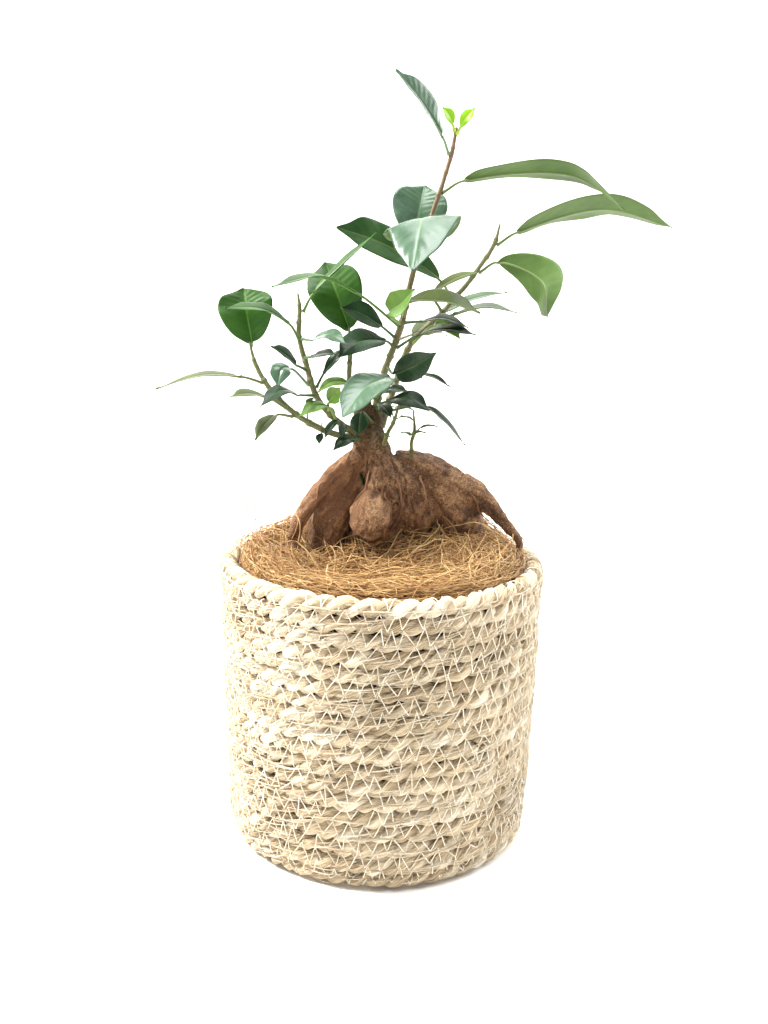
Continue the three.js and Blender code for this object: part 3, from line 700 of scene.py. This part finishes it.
def loose_strips(count, rng):
    """Flat shreds of plant fibre lying along the strands."""
    length = rng.uniform(8, 26, count)
    turns = rng.uniform(0, 1, count)
    row = rng.integers(0, ROWS - 8, count)
    place = ROPE_PITCH * (row + rng.uniform(-0.4, 0.4, count))
    climb = rng.uniform(-0.32, 0.05, count)
    paths = []
    for share in np.linspace(0, 1, 9):
        around = turns - length * share / (TURN * 80)
        down = np.clip(row_place(around % 1) + place + length * share * climb, 0, PROFILE_LENGTH)
        out = 3.9 + 0.9 * np.sin(share * math.pi) + rng.normal(0, 0.05, count)
        paths.append(on_basket(down, around, out))
    radii = np.sin(np.linspace(0.12, 1, 9) * 2.9)[None] * rng.uniform(0.18, 0.4, count)[:, None]
    return value_tubes(np.stack(paths, 1), radii, 5, rng.uniform(0.35, 1, count))


def show_strands(name, built, material, slot, node):
    """One piece from points, faces and values along, around and tone, with nothing under the ground."""
    points, faces, along, around, tone = built
    points[:, 2] = np.maximum(points[:, 2], GROUND_GAP)
    make_piece(name, points, faces, [material], slot, [node], along=along, around=around, tone=tone)


def make_basket():
    shades = (88, 61, 36), (216, 195, 159), (254, 249, 235)
    dry_rope = strand_material("dry rope fibre", shades, 0.8, 7.0, 8.0, 0.0007)
    thread = thread_material()
    where = "basket_rope", "rope_basket"
    for number, (first, last) in enumerate(zip(WALL_CUTS[:-1], WALL_CUTS[1:])):
        show_strands(f"rope_rows_{number + 1}", rope(first, last, 1.1, 18), dry_rope, *where)
    show_strands("rope_floor", rope(WALL_CUTS[-1], ROWS, 2.0, 10), dry_rope, *where)
    rng = np.random.default_rng(5)
    upper = joined([stitches(0, 9, rng), rim_stitches(rng)])
    show_strands("stitching_upper", upper, thread, *where)
    show_strands("stitching_lower", stitches(9, 20, rng), thread, *where)
    hairs = joined([wall_hairs(HAIRS, rng), loose_strips(SHREDS, rng)])
    show_strands("rope_hairs", hairs, dry_rope, *where)


# ---- Pot, soil and coir ----

def lumpy_copy(name, node, material, slot, cuts, lump, height, sink=0.0):
    """The CAD node's shape with a finer, uneven surface; its top sinks to make room, most at the edge."""
    shape = solid_mesh(node)
    bmesh.ops.subdivide_edges(shape, edges=shape.edges, cuts=cuts, use_grid_fill=True)
    bmesh.ops.triangulate(shape, faces=shape.faces)
    shape.verts.index_update()
    points = np.array([tuple(v.co) for v in shape.verts]) / MM
    shape.normal_update()
    normals = np.array([tuple(v.normal) for v in shape.verts])
    faces = np.array([[v.index for v in face.verts] for face in shape.faces])
    shape.free()
    bumps = height * (0.7 * noise(points, lump, 31) + 0.3 * noise(points, lump / 3, 32) - 1)
    upper = smoothstep(normals[:, 2], 0.2, 0.6)
    points = points + normals * (bumps * upper)[:, None]
    bottom = points[:, 2].min()
    edge = smoothstep(np.hypot(points[:, 0], points[:, 1]), 52, 69)
    points[:, 2] -= sink * (1 + 1.3 * edge) * smoothstep(points[:, 2], bottom + 2, bottom + 16)
    make_piece(name, points, faces, [material], slot, [node])


def coir_paths(count, rng, top, root_tree, lengths, depth, lift, loops):
    """Curling fibres laid over the coir, kept inside the basket and off the root."""
    radius = BASKET_BORE * np.sqrt(rng.uniform(0.14, 0.98, count))
    angle = rng.uniform(0, TURN, count)
    spot = np.stack([radius * np.cos(angle), radius * np.sin(angle)], 1)
    length = rng.uniform(*lengths, count)
    heading = angle + math.pi / 2 * rng.choice([-1, 1], count) + rng.normal(0, 0.95, count)
    bend = rng.normal(0, 0.03, count)
    base = rng.uniform(*depth, count)
    arc = rng.uniform(0, 1, count) ** 2 * lift
    arc = np.where(rng.random(count) < loops, rng.uniform(4, 11, count), arc)
    limit = BASKET_BORE - rng.uniform(0.5, 9, count)
    turn_back = rng.choice([-0.6, 0.6], count)
    paths = np.zeros((count, COIR_STEPS, 3))
    for i in range(COIR_STEPS):
        paths[:, i, :2] = spot
        step = length / (COIR_STEPS - 1)
        spot = spot + np.stack([np.cos(heading), np.sin(heading)], 1) * step[:, None]
        reach = np.linalg.norm(spot, axis=1)
        spot = spot * np.minimum(1, limit / np.maximum(reach, 1))[:, None]
        heading = heading + bend * step + rng.normal(0, 0.16, count)
        heading = heading + np.where(reach > limit, turn_back, 0)
    shares = np.sin(np.linspace(0, math.pi, COIR_STEPS))
    wobble = noise(paths.reshape(-1, 3) + 500, 6, 41).reshape(count, COIR_STEPS)
    for one in range(count):
        for i in range(COIR_STEPS):
            x, y = paths[one, i, :2]
            reach = math.hypot(x, y)
            inside = min(1, COIR_REACH / max(reach, 1))
            above = Vector((x * inside * MM, y * inside * MM, ABOVE_PLANT))
            hit = top.ray_cast(above, Vector((0, 0, -1)))[0]
            level = hit.z / MM if hit is not None and hit.z > COIR_FLOOR else COIR_LEVEL
            level = level - 0.5 * (1 - inside) * reach
            paths[one, i, 2] = level + base[one] + arc[one] * shares[i] + 1.1 * wobble[one, i]
    return off_the_root(paths, root_tree)


def off_the_root(paths, root_tree):
    """The paths with every point that is in the root, or all but touches it, set on its skin."""
    flat = paths.reshape(-1, 3)
    for i, place in enumerate(flat):
        near, normal, _, gap = root_tree.find_nearest(Vector(place * MM), 0.02)
        if near is None:
            continue
        inside = (Vector(place * MM) - near).dot(normal) < 0
        if inside or gap < SKIN_GAP:
            flat[i] = (np.array(near) + np.array(normal) * LIFT_OFF) / MM
    return flat.reshape(paths.shape)


def make_filling(root_tree):
    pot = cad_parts["nursery_pot"]
    pot.data.materials.clear()
    pot.data.materials.append(pot_material())
    soil = ground_material("damp potting soil", ((22, 15, 10), (54, 38, 26), (96, 74, 52)), 350.0)
    lumpy_copy("soil_body", "potting_soil", soil, "soil", 1, 6, 0.6)
    # The coir bed is coloured far darker than the fibres: painted shade in the gaps under them.
    bed = ground_material("matted coir in painted shade", ((30, 17, 8), (66, 40, 17), (104, 69, 33)), 420.0)
    lumpy_copy("coir_bed", "coir_topping", bed, "coir", 2, 5, 2.2, 4.5)
    shades = (70, 40, 15), (160, 114, 61), (240, 208, 144)
    fibre = strand_material("coir fibre", shades, 0.45, 7.0, 0.8, 0.00003)
    top = search_tree("coir_topping")
    rng = np.random.default_rng(11)
    # Name, count, length, depth, greatest arc, share of loops, and tone of each layer; lower layers get
    # darker tones, painted shade under the higher fibres.
    layers = (
        ("coir_fibres_low", 1700, (26, 70), (-6.5, -3.0), 1.5, 0.0, (0.0, 0.35)),
        ("coir_fibres_middle", 1500, (30, 80), (-4.0, -1.0), 3.0, 0.02, (0.05, 0.75)),
        ("coir_fibres_high", 1150, (30, 90), (-2.0, 0.8), 5.0, 0.10, (0.25, 1.0)),
    )
    for name, count, lengths, depth, lift, loops, tones in layers:
        paths = coir_paths(count, rng, top, root_tree, lengths, depth, lift, loops)
        radii = rng.uniform(0.13, 0.27, count)[:, None] * np.ones((1, COIR_STEPS))
        radii[:, -1] *= 0.4
        built = value_tubes(paths, radii, 3, rng.uniform(*tones, count))
        show_strands(name, built, fibre, "coir", "coir_topping")
    make_strays(fibre, rng)


def make_strays(fibre, rng):
    """Long curls that stand up out of the coir beside the rim, mostly on the left."""
    count, steps = 44, 18
    left = rng.random(count) < 0.6
    angle = np.where(left, rng.normal(math.radians(188), 0.5, count), rng.uniform(0, TURN, count))
    radius = rng.uniform(62, 73, count)
    paths = np.zeros((count, steps, 3))
    spot = np.stack([radius * np.cos(angle), radius * np.sin(angle), np.full(count, COIR_LEVEL)], 1)
    away = np.stack([np.cos(angle), np.sin(angle), np.zeros(count)], 1)
    aside = np.stack([-np.sin(angle), np.cos(angle), np.zeros(count)], 1)
    height = np.where(left, rng.uniform(16, 46, count), rng.uniform(10, 26, count))
    bow = rng.normal(0, 9, count)
    sweep = rng.normal(0, 20, count)
    shares = np.linspace(0, 1, steps)
    for i, share in enumerate(shares):
        rise = height * math.sin(share * 2.3)
        paths[:, i] = (spot + np.array([0, 0, 1]) * rise[:, None]
                       + aside * (sweep * share + bow * math.sin(share * 5))[:, None]
                       + away * (4 * share - 3 * math.sin(share * 3)))
    built = value_tubes(paths, 0.19, 4, rng.uniform(0.0, 0.6, count))
    show_strands("coir_strays", built, fibre, "coir", "coir_topping")


# ---- Root ----

CROWN = np.array([-4.0, 8.0, 206.0])
# Centre of the painted highlight on the bulb.
BULB_HIGHLIGHT_CENTRE = np.array([-4.5, -21.0, 172.0])
BARK_CELL = 0.00082
ROOTLETS = 22


def even_skin(node, cell, rounds):
    """Points, normals and square faces of a CAD node's shape, remade with even cells and softened."""
    piece = bpy.data.objects.new(node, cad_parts[node].data.copy())
    bpy.context.scene.collection.objects.link(piece)
    piece.modifiers.new("weld", "WELD").merge_threshold = WELD
    skin = piece.modifiers.new("even skin", "REMESH")
    skin.mode = "VOXEL"
    skin.voxel_size = cell
    piece.modifiers.new("soften", "SMOOTH").iterations = rounds
    made = bpy.data.meshes.new_from_object(piece.evaluated_get(bpy.context.evaluated_depsgraph_get()))
    bpy.data.objects.remove(piece)
    points, normals = np.empty((2, len(made.vertices) * 3))
    made.vertices.foreach_get("co", points)
    made.vertices.foreach_get("normal", normals)
    faces = np.array([tuple(face.vertices) for face in made.polygons if len(face.vertices) == 4])
    bpy.data.meshes.remove(made)
    return points.reshape(-1, 3) / MM, normals.reshape(-1, 3), faces


def make_root():
    """The root with bark ridges running down from the crown, cracks, cross wrinkles, pores and folds."""
    points, normals, faces = even_skin("swollen_root", BARK_CELL, 5)
    away = points - CROWN
    distance = np.linalg.norm(away, axis=1)
    ray = unit(away)
    bend = np.stack([noise(points, 26, 50 + k) for k in range(3)], 1)
    fan = ray + 0.10 * bend
    far = np.clip(distance / 45, 0.25, 1.3)
    broad = noise(fan, 0.22, 60)
    ridges = noise(fan, 0.085, 61)
    fine = noise(fan, 0.035, 62)
    cracks = np.clip(1 - np.abs(noise(fan + 3, 0.12, 63)) * 5, 0, 1)
    cracks = cracks * smoothstep(noise(points, 14, 64), -0.2, 0.5)
    rings = noise(np.column_stack([distance / 2.6, ray[:, 0] * 2, ray[:, 1] * 2]), 1, 65)
    pores = np.clip(noise(points, 1.7, 66) - 0.45, 0, 1) * 1.6
    push = far * (0.5 * broad + 0.75 * ridges + 0.5 * fine - 0.9 * cracks) + 0.36 * rings + 0.4 * pores
    for height, lump, seed in ((0.6, 13, 67), (0.34, 4.2, 68), (0.16, 1.9, 69)):
        push = push + height * noise(points, lump, seed)
    points = points + normals * push[:, None]
    # Painted highlight: a pale patch on the front of the bulb.
    bulb_highlight = 1 - smoothstep(np.linalg.norm(points - BULB_HIGHLIGHT_CENTRE, axis=1), 3, 8.5)
    # Painted shade: the bark darkens low down, towards the coir.
    low_painted_shade = 1 - smoothstep(points[:, 2], 147, 166)
    # Colour mask that follows the relief: lighter on ridges, rings and pores, darker in cracks, partly the
    # bark's own colour and partly painted highlight and painted shade; it also takes the bulb's painted
    # highlight and the painted shade low down.
    ridge = (0.5 + 0.4 * ridges + 0.45 * fine + 0.35 * rings - 0.8 * cracks + 0.3 * pores
             + 0.5 * bulb_highlight - 0.3 * low_painted_shade)
    front_left = smoothstep(-points[:, 0], 4, 14) * smoothstep(-normals[:, 1], -0.2, 0.5)
    reddish = 0.45 * front_left * smoothstep(points[:, 2], 150, 175)
    young = 0.8 * smoothstep(points[:, 2], 196, 212)
    make_piece("ficus_root", points, faces, [bark_material()], "bark", ["swollen_root"],
               ridge=np.clip(ridge, 0, 1), reddish=reddish, young=young)


def make_rootlets(root_tree):
    """Wiry roots that creep down over the skin of the swollen root."""
    rng = np.random.default_rng(23)
    steps = 34
    paths = []
    while len(paths) < ROOTLETS:
        x, z = rng.uniform(-38, 44), rng.uniform(166, 204)
        spot = skin_from_front(root_tree, x, z)
        if spot is None:
            continue
        drift = rng.normal(0, 0.5)
        path = []
        for _ in range(steps):
            drift = 0.85 * drift + rng.normal(0, 0.28)
            spot = spot + Vector((drift * 0.0009, 0, -0.0011))
            spot, normal, *_ = root_tree.find_nearest(spot)
            path.append(np.array(spot + normal * SKIN_GAP) / MM)
        paths.append(path)
    paths = np.array(paths)
    for _ in range(3):
        paths[:, 1:-1] = (paths[:, :-2] + 2 * paths[:, 1:-1] + paths[:, 2:]) / 4
    radii = np.linspace(1, 0.3, steps)[None] * rng.uniform(0.25, 0.6, len(paths))[:, None]
    built = value_tubes(paths, radii, 7, rng.uniform(0.2, 0.8, len(paths)))
    shades = (78, 46, 28), (128, 86, 56), (168, 122, 84)
    wood = strand_material("wiry root", shades, 0.6, 6.0, 1.5, 0.0001)
    show_strands("surface_rootlets", built, wood, "bark", "swollen_root")


# ---- Stems ----

STEM_CORNERS = 14


def make_stem(node, material, parent_sink, age_low, age_high):
    """A shoot with swollen knots, from inside its parent to a point; age goes from its foot to its tip."""
    rings = rings_of(node, 8, False)
    centres = rings.mean(axis=1)
    widths = np.linalg.norm(rings - centres[:, None], axis=2).mean(axis=1)
    count = (len(rings) - 1) * 14
    places = np.linspace(0, len(rings) - 1, count)
    path = between_rings(centres, places)
    radius = np.maximum(between_rings(widths, places), 0.3)
    start = path[0] - unit(path[1] - path[0]) * parent_sink
    end = path[-1] + unit(path[-1] - path[-2]) * 0.8
    path = np.concatenate([[start], path, [end]])
    radius = np.concatenate([radius[:1] * 1.15, radius, [0.12]])
    gaps = np.concatenate([[0], np.cumsum(np.linalg.norm(np.diff(path, axis=0), axis=1))])
    seed = sum(map(ord, node))
    rng = np.random.default_rng(seed)
    knot = rng.uniform(3, 8)
    swell = np.zeros(len(path))
    while knot < gaps[-1]:
        swell += 0.24 * np.exp(-((gaps - knot) / 0.9) ** 2) - 0.07 * np.exp(-((gaps - knot - 1.8) / 0.8) ** 2)
        knot += rng.uniform(7, 13)
    lane = np.column_stack([gaps, np.full_like(gaps, seed % 97), np.zeros_like(gaps)])
    sway = 0.35 * np.column_stack([noise(lane, 11, 70 + k) for k in range(3)])
    path = path + sway * smoothstep(gaps, 1, 6)[:, None]
    radius = radius * (1 + swell + 0.08 * noise(lane, 4, 73))
    points, faces, along, around, _ = value_tubes(path[None], radius[None], STEM_CORNERS, np.zeros(1))
    share = np.repeat(gaps / gaps[-1], STEM_CORNERS)
    age = age_low + (age_high - age_low) * share
    centre = np.repeat(path, STEM_CORNERS, axis=0)
    rough = 0.09 * noise(points, 1.6, 74) + 0.05 * noise(points, 0.6, 75)
    points = points + (points - centre) * rough[:, None]
    make_piece(node + "_shoot", points, faces, [material], "stem", [node],
               along=along, around=around, age=age)


# ---- Leaves ----

def leaf_frame(node):
    """Middle line, edges and upper side of a CAD leaf, ring by ring."""
    rings = rings_of(node, 4, True)
    middles, lefts, rights = [], [], []
    previous = None
    for ring in rings:
        gaps = np.linalg.norm(ring[:, None] - ring[None], axis=2)
        a, b = np.unravel_index(np.argmax(gaps), gaps.shape)
        others = [k for k in range(4) if k not in (a, b)]
        left, right = ring[a], ring[b]
        if previous is not None and np.dot(right - left, previous) < 0:
            left, right = right, left
        previous = right - left
        middles.append(ring[others].mean(axis=0))
        lefts.append(left)
        rights.append(right)
    return np.array(middles), np.array(lefts), np.array(rights)


def blade(middles, lefts, rights, folded_back, seed,
          stations=LEAF_STATIONS, columns=LEAF_COLUMNS, thickness=LEAF_THICKNESS):
    """A thin closed blade between its edges: groove over the midrib, soft side veins, wavy margin.

    Gives points, faces, values along and across, and which material each face takes."""
    share = np.linspace(0, 1, stations)
    share = share - 0.6 * np.sin(TURN * share) / TURN
    places = (len(middles) - 1) * share
    middle = between_rings(middles, places)
    tangent = unit(np.gradient(middle, axis=0))
    edge = between_rings(rights - lefts, places)
    halves = np.linalg.norm(rights - lefts, axis=1) / 2
    full = np.sqrt(np.maximum(between_rings(halves ** 2, places), 0))
    length = np.linalg.norm(np.diff(middles, axis=0), axis=1).sum()
    slender = 1 - smoothstep(halves.max() / length, 0.2, 0.36)
    drawn = np.maximum(smoothstep(share, 0.75, 0.95), slender)
    half = np.maximum(full + (between_rings(halves, places) - full) * drawn, 0.16)
    side = unit(edge)
    raised = between_rings((rights + lefts) / 2 - middles, places)
    wide = np.argmax(np.linalg.norm(rights - lefts, axis=1))
    tangents = unit(np.gradient(middles, axis=0))
    facing = np.cross(rights[wide] - lefts[wide], tangents[wide])
    if np.dot(facing, (rights + lefts)[wide] / 2 - middles[wide]) * (-1 if folded_back else 1) < 0:
        side = -side
    up = unit(np.cross(side, tangent))
    lift = np.sum(raised * up, axis=1)
    spread = np.linspace(-1, 1, columns)
    across = np.sign(spread) * np.abs(spread) ** 1.35
    away = np.abs(across)
    lane = np.stack(np.broadcast_arrays(share[:, None] * 5, np.sign(across) * 1.7, float(seed)), -1)
    wave = noise(lane.reshape(-1, 3), 1, 80).reshape(stations, columns) * away ** 2 * half[:, None] * 0.13
    phase = share[:, None] * 11 - away * 1.7
    vein = np.exp(-((np.abs((phase % 1) - 0.5) - 0.5) / 0.10) ** 2) * np.clip(away * 6, 0, 1) * (1 - away)
    puff = 0.035 * half[:, None] * np.sin(math.pi * away) * (1 + 0.4 * np.cos(TURN * phase))
    groove = np.exp(-(across * half[:, None] / 0.55) ** 2) * (1 - 0.7 * share[:, None])
    rise = lift[:, None] * away ** 1.25 + puff + wave
    top = rise + thickness / 2 - 0.28 * groove - 0.07 * vein
    under = rise - thickness / 2 - 0.38 * groove - 0.05 * vein
    thin = 1 - smoothstep(away, 0.9, 1.0) * 0.65
    top = rise + (top - rise) * thin
    under = rise + (under - rise) * thin
    flat = middle[:, None] + side[:, None] * (across * half[:, None])[..., None]
    upper = flat + up[:, None] * top[..., None]
    lower = flat + up[:, None] * under[..., None]
    points = np.concatenate([upper.reshape(-1, 3), lower.reshape(-1, 3)])
    rows, cells = np.meshgrid(np.arange(stations - 1), np.arange(columns - 1), indexing="ij")
    first = (rows * columns + cells).ravel()
    quads = np.stack([first, first + 1, first + columns + 1, first + columns], 1)
    total = stations * columns
    edges = np.concatenate([
        np.arange(stations) * columns + columns - 1,
        np.arange(columns - 2, -1, -1) + (stations - 1) * columns,
        np.arange(stations - 2, -1, -1) * columns,
        np.arange(1, columns - 1),
    ])
    after = np.roll(edges, -1)
    rim = np.stack([edges, edges + total, after + total, after], 1)
    faces = np.concatenate([quads, quads[:, ::-1] + total, rim])
    which = np.concatenate([np.zeros(len(quads)), np.ones(len(quads)), np.ones(len(rim))])
    along = np.tile(np.repeat(share, columns), 2)
    return points, faces, along, np.tile(across, 2 * stations), which


def stalk(centres, radii, corners=10):
    """A leaf stalk running on under the blade as its midrib."""
    points, faces = tubes(centres[None], radii[None], corners)
    along = np.repeat(np.linspace(0, 1, len(centres)), corners)
    around = np.tile(np.arange(corners) / corners, len(centres))
    return points, faces, along, around, np.full(len(faces), 2.0)


def make_leaf(node, looks, folded_back=False):
    middles, lefts, rights = leaf_frame(node)
    seed = sum(map(ord, node))
    edges = [line[STALK_RINGS - 1:] for line in (middles, lefts, rights)]
    body = blade(*edges, folded_back, seed)
    upper, lower = body[0].reshape(2, LEAF_STATIONS, LEAF_COLUMNS, 3)[:, 2:int(LEAF_STATIONS * 0.75):2,
                                                                       LEAF_COLUMNS // 2]
    foot = between_rings(middles[:STALK_RINGS], np.linspace(0, STALK_RINGS - 1, 13))
    start = foot[0] - unit(foot[1] - foot[0]) * 0.9
    under = lower + (upper - lower) * 0.3
    path = np.concatenate([[start], foot[:-1], under])
    first = np.concatenate([[0.95, 0.95], np.linspace(0.78, 0.62, 11)])
    radii = np.concatenate([first, np.linspace(0.6, 0.12, len(under))])
    points, faces, along, across, which = joined([body, stalk(path, radii)])
    slot = "young_leaf" if node.startswith("bud_leaf") else "leaf"
    make_piece(node + "_grown", points, faces, looks, slot, [node], which=which, along=along, across=across)


def sprout_leaf(start, foot, tip, width, seed):
    """A very small leaf given by where its stalk starts, where its blade starts and its tip."""
    start, foot, tip = (np.array(p, float) for p in (start, foot, tip))
    line = tip - foot
    side = unit(np.cross(line, np.array([0.1, 0.2, 1.0])))
    up = np.cross(side, unit(line))
    shares = np.linspace(0, 1, 9)
    bow = np.sin(shares * math.pi) * 0.10 * np.linalg.norm(line)
    middles = foot + line * shares[:, None] + up * bow[:, None]
    halves = width / 2 * np.maximum(np.sin(math.pi * shares ** 0.8) ** 0.85, 0.08)
    raised = up * (halves * 0.22)[:, None]
    lefts = middles - side * halves[:, None] + raised
    rights = middles + side * halves[:, None] + raised
    body = blade(middles, lefts, rights, False, seed, 20, 13, 0.25)
    path = np.stack([start + (foot - start) * share for share in np.linspace(-0.2, 1.05, 6)])
    return joined([body, stalk(path, np.linspace(0.42, 0.3, 6), 8)])


def leaf_looks(name, upper, under, rib, roughness, coat):
    """Three materials of a leaf: upper side, underside and stalk."""
    dark, light, low, high = (colour(*shade) for shade in upper + under)
    vein, old = colour(*rib), colour(*[int(0.8 * c) for c in rib])
    return [
        blade_material(name + " upper side", dark, light, vein, roughness, -0.3, coat),
        blade_material(name + " underside", low, high, vein, roughness + 0.2, 1.0, 0.0),
        stalk_material(name + " stalk", vein, old),
    ]


# Two colours of the upper side, two of the underside, the midrib's, roughness and coat.
LEAF_KINDS = {
    "deep": (((11, 35, 13), (21, 50, 21)), ((58, 80, 38), (72, 94, 50)), (62, 92, 44), 0.34, 0.1),
    "waxy": (((56, 84, 62), (74, 102, 78)), ((70, 94, 50), (86, 110, 64)), (110, 138, 100), 0.24, 0.6),
    "olive": (((60, 74, 32), (78, 92, 42)), ((70, 88, 40), (86, 102, 52)), (106, 116, 60), 0.36, 0.1),
    "bright": (((68, 104, 32), (88, 122, 44)), ((76, 108, 38), (94, 126, 52)), (124, 154, 70), 0.34, 0.12),
    "leafgreen": (((28, 66, 6), (42, 82, 12)), ((40, 78, 14), (54, 94, 22)), (84, 122, 44), 0.36, 0.05),
    "soft underside": (
        ((30, 62, 24), (42, 76, 32)), ((62, 88, 36), (76, 102, 48)), (100, 122, 62), 0.3, 0.12),
    "lime": (((122, 172, 24), (146, 192, 40)), ((126, 174, 28), (146, 192, 44)), (168, 206, 70), 0.38, 0.1),
}
KIND_OF_LEAF = {
    "waxy": ["crown_leaf", "great_front_leaf", "back_leaf", "front_leaf", "left_leaf_7", "left_leaf_3"],
    "lime": ["bud_leaf_left", "bud_leaf_right"],
    "soft underside": [
        "upper_right_leaf", "right_leaf", "drooping_right_leaf", "crossing_leaf", "right_leaf_4",
        "right_leaf_5"],
    "leafgreen": ["round_leaf", "heart_leaf", "arched_leaf", "left_leaf_1", "left_leaf_2"],
    "bright": ["right_leaf_6", "middle_leaf_2", "left_leaf_9", "left_leaf_10", "left_leaf_11"],
    "olive": [
        "long_left_leaf", "outer_leaf_1", "outer_leaf_2", "middle_leaf_6", "middle_leaf_1", "right_leaf_3"],
}
# How far a stem starts inside its parent, and its age at foot and tip.
STEMS = {
    "main_stem": (1.2, 0.15, 0.85), "right_stem": (1.0, 0.35, 0.1), "left_stem": (1.0, 0.3, 0.05),
    "outer_left_stem": (1.0, 0.2, 0.0), "centre_left_stem": (1.0, 0.2, 0.0), "front_sprout": (0.8, 0.2, 0.0),
    "right_sprout": (0.8, 0.2, 0.0),
}
# Start of the stalk, start of the blade, tip, and width.
SPROUT_LEAVES = [
    ((4, -8, 217), (3, -10, 221), (-3, -14, 222), 4.5),
    ((4, -8, 218), (7, -11, 220), (13, -16, 219), 5),
    ((2, -5, 209), (1, -7, 210), (-3, -10, 211), 3.5),
    ((14, -10, 212), (12, -12, 211), (7, -18, 213), 4.5),
    ((14, -10, 213), (14, -12, 212), (20, -18, 213), 4.5),
    ((14, -10, 212), (17, -12, 215), (26, -16, 216), 5),
    ((-5, 6, 224), (4, 4, 223), (15, 2, 221), 5),
    ((-39, -12, 219), (-39, -14, 225), (-36, -16, 229), 4),
    ((-22, -2, 214), (-24, -4, 217), (-30, -14, 209), 5.5),
    ((-21, -2, 214), (-22, -6, 215), (-22, -12, 209), 4.5),
    ((-28, -5, 219), (-27, -4, 218), (-28, -2, 223), 3.5),
    ((-32, -10, 215), (-32, -12, 211), (-33, -14, 206), 4.5),
    ((11, 14, 246), (13, 10, 239), (18, 8, 237), 5.5),
]


def make_plant(root_tree):
    wood = shoot_material("young ficus wood", colour(82, 93, 46), colour(108, 73, 52), colour(138, 126, 88))
    for node, (sink, low, high) in STEMS.items():
        make_stem(node, wood, sink, low, high)
    looks = {kind: leaf_looks(kind + " leaf", *values) for kind, values in LEAF_KINDS.items()}
    kinds = {node: kind for kind, nodes in KIND_OF_LEAF.items() for node in nodes}
    for node in sorted(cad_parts):
        if "leaf" in node:
            make_leaf(node, looks[kinds.get(node, "deep")], node == "great_front_leaf")
    left, level = -13, 188
    skin = skin_from_front(root_tree, left, level).y / MM
    on_root = ((left, skin + 1, level), (left, skin - 2, level + 1), (left + 2, skin - 5, level - 5), 5)
    parts = [sprout_leaf(*row, number) for number, row in enumerate(SPROUT_LEAVES + [on_root])]
    points, faces, along, across, which = joined(parts)
    make_piece("sprout_leaves", points, faces, looks["deep"], "sprout", ["front_sprout", "right_sprout"],
               which=which, along=along, across=across)


make_basket()
root_tree = search_tree("swollen_root")
make_filling(root_tree)
make_root()
make_rootlets(root_tree)
make_plant(root_tree)


# ---- Room, light and camera ----

def make_floor():
    """A pale floor that bends up into a wall behind."""
    bend_radius, wall_at, wall_height, half = 0.35, 1.0, 2.2, 2.6
    outline = [(-1.6, 0.0), (wall_at - bend_radius, 0.0)]
    for step in range(1, 13):
        angle = step / 12 * math.pi / 2
        back = wall_at - bend_radius + bend_radius * math.sin(angle)
        outline.append((back, bend_radius * (1 - math.cos(angle))))
    outline.append((wall_at, wall_height))
    points = [(x, y, z) for y, z in outline for x in (-half, half)]
    faces = [(2 * k, 2 * k + 1, 2 * k + 3, 2 * k + 2) for k in range(len(outline) - 1)]
    mesh = bpy.data.meshes.new("floor")
    mesh.from_pydata(points, [], faces)
    for face in mesh.polygons:
        face.use_smooth = True
    material, tree, surface = new_material("pale floor paper")
    paper = mix(tree, grain(tree, 300.0, 2.0), colour(238, 236, 232), colour(243, 241, 238))
    plug(tree, surface["Base Color"], paper)
    surface["Roughness"].default_value = 0.9
    mesh.materials.append(material)
    floor = bpy.data.objects.new("floor", mesh)
    bpy.context.scene.collection.objects.link(floor)


def area_light(name, place, aim, size, watts, tint=(1, 1, 1)):
    light = bpy.data.lights.new(name, "AREA")
    light.size = size
    light.energy = watts
    light.color = tint
    lamp = bpy.data.objects.new(name, light)
    lamp.location = place
    lamp.rotation_euler = (Vector(aim) - Vector(place)).to_track_quat("-Z", "Y").to_euler()
    bpy.context.scene.collection.objects.link(lamp)


def make_light():
    area_light("key", (-0.95, 0.0, 1.0), (0, 0, 0.14), 0.25, 36, (1.0, 0.98, 0.94))
    area_light("side", (1.0, 0.3, 0.75), (0, 0, 0.14), 0.6, 13)
    area_light("top sheet", (-0.1, -0.45, 1.6), (0, 0, 0.15), 0.7, 17)
    area_light("wall wash", (0, 0.5, 1.9), (0, 1.0, 0.3), 1.4, 26)
    area_light("front fill", (0.1, -1.5, 0.5), (0, 0, 0.08), 1.0, 4.5)
    world = bpy.data.worlds.new("soft room")
    world.use_nodes = True
    world.node_tree.nodes["Background"].inputs[0].default_value = (1.0, 1.0, 1.0, 1.0)
    world.node_tree.nodes["Background"].inputs[1].default_value = 0.25
    bpy.context.scene.world = world


def make_camera():
    """Stands in front, a little above the rim, looking down, and leans slightly."""
    down, lean = math.radians(12.8), math.radians(1.5)
    forward = Vector((0, math.cos(down), -math.sin(down)))
    upright = Vector((0, math.sin(down), math.cos(down)))
    right = Vector((math.cos(lean), 0, 0)) + upright * math.sin(lean)
    up = upright * math.cos(lean) - Vector((math.sin(lean), 0, 0))
    lens = bpy.data.cameras.new("camera")
    lens.sensor_fit = "AUTO"
    lens.sensor_width = 36
    lens.lens = 36.25
    lens.clip_start = 0.02
    camera = bpy.data.objects.new("camera", lens)
    turned = Matrix((right, up, -forward)).transposed().to_4x4()
    camera.matrix_world = Matrix.Translation((0, -0.5196, 0.287)) @ turned
    bpy.context.scene.collection.objects.link(camera)
    bpy.context.scene.camera = camera


make_floor()
make_light()
make_camera()
bpy.context.scene.view_settings.view_transform = "Standard"
bpy.context.scene.view_settings.exposure = 0.2
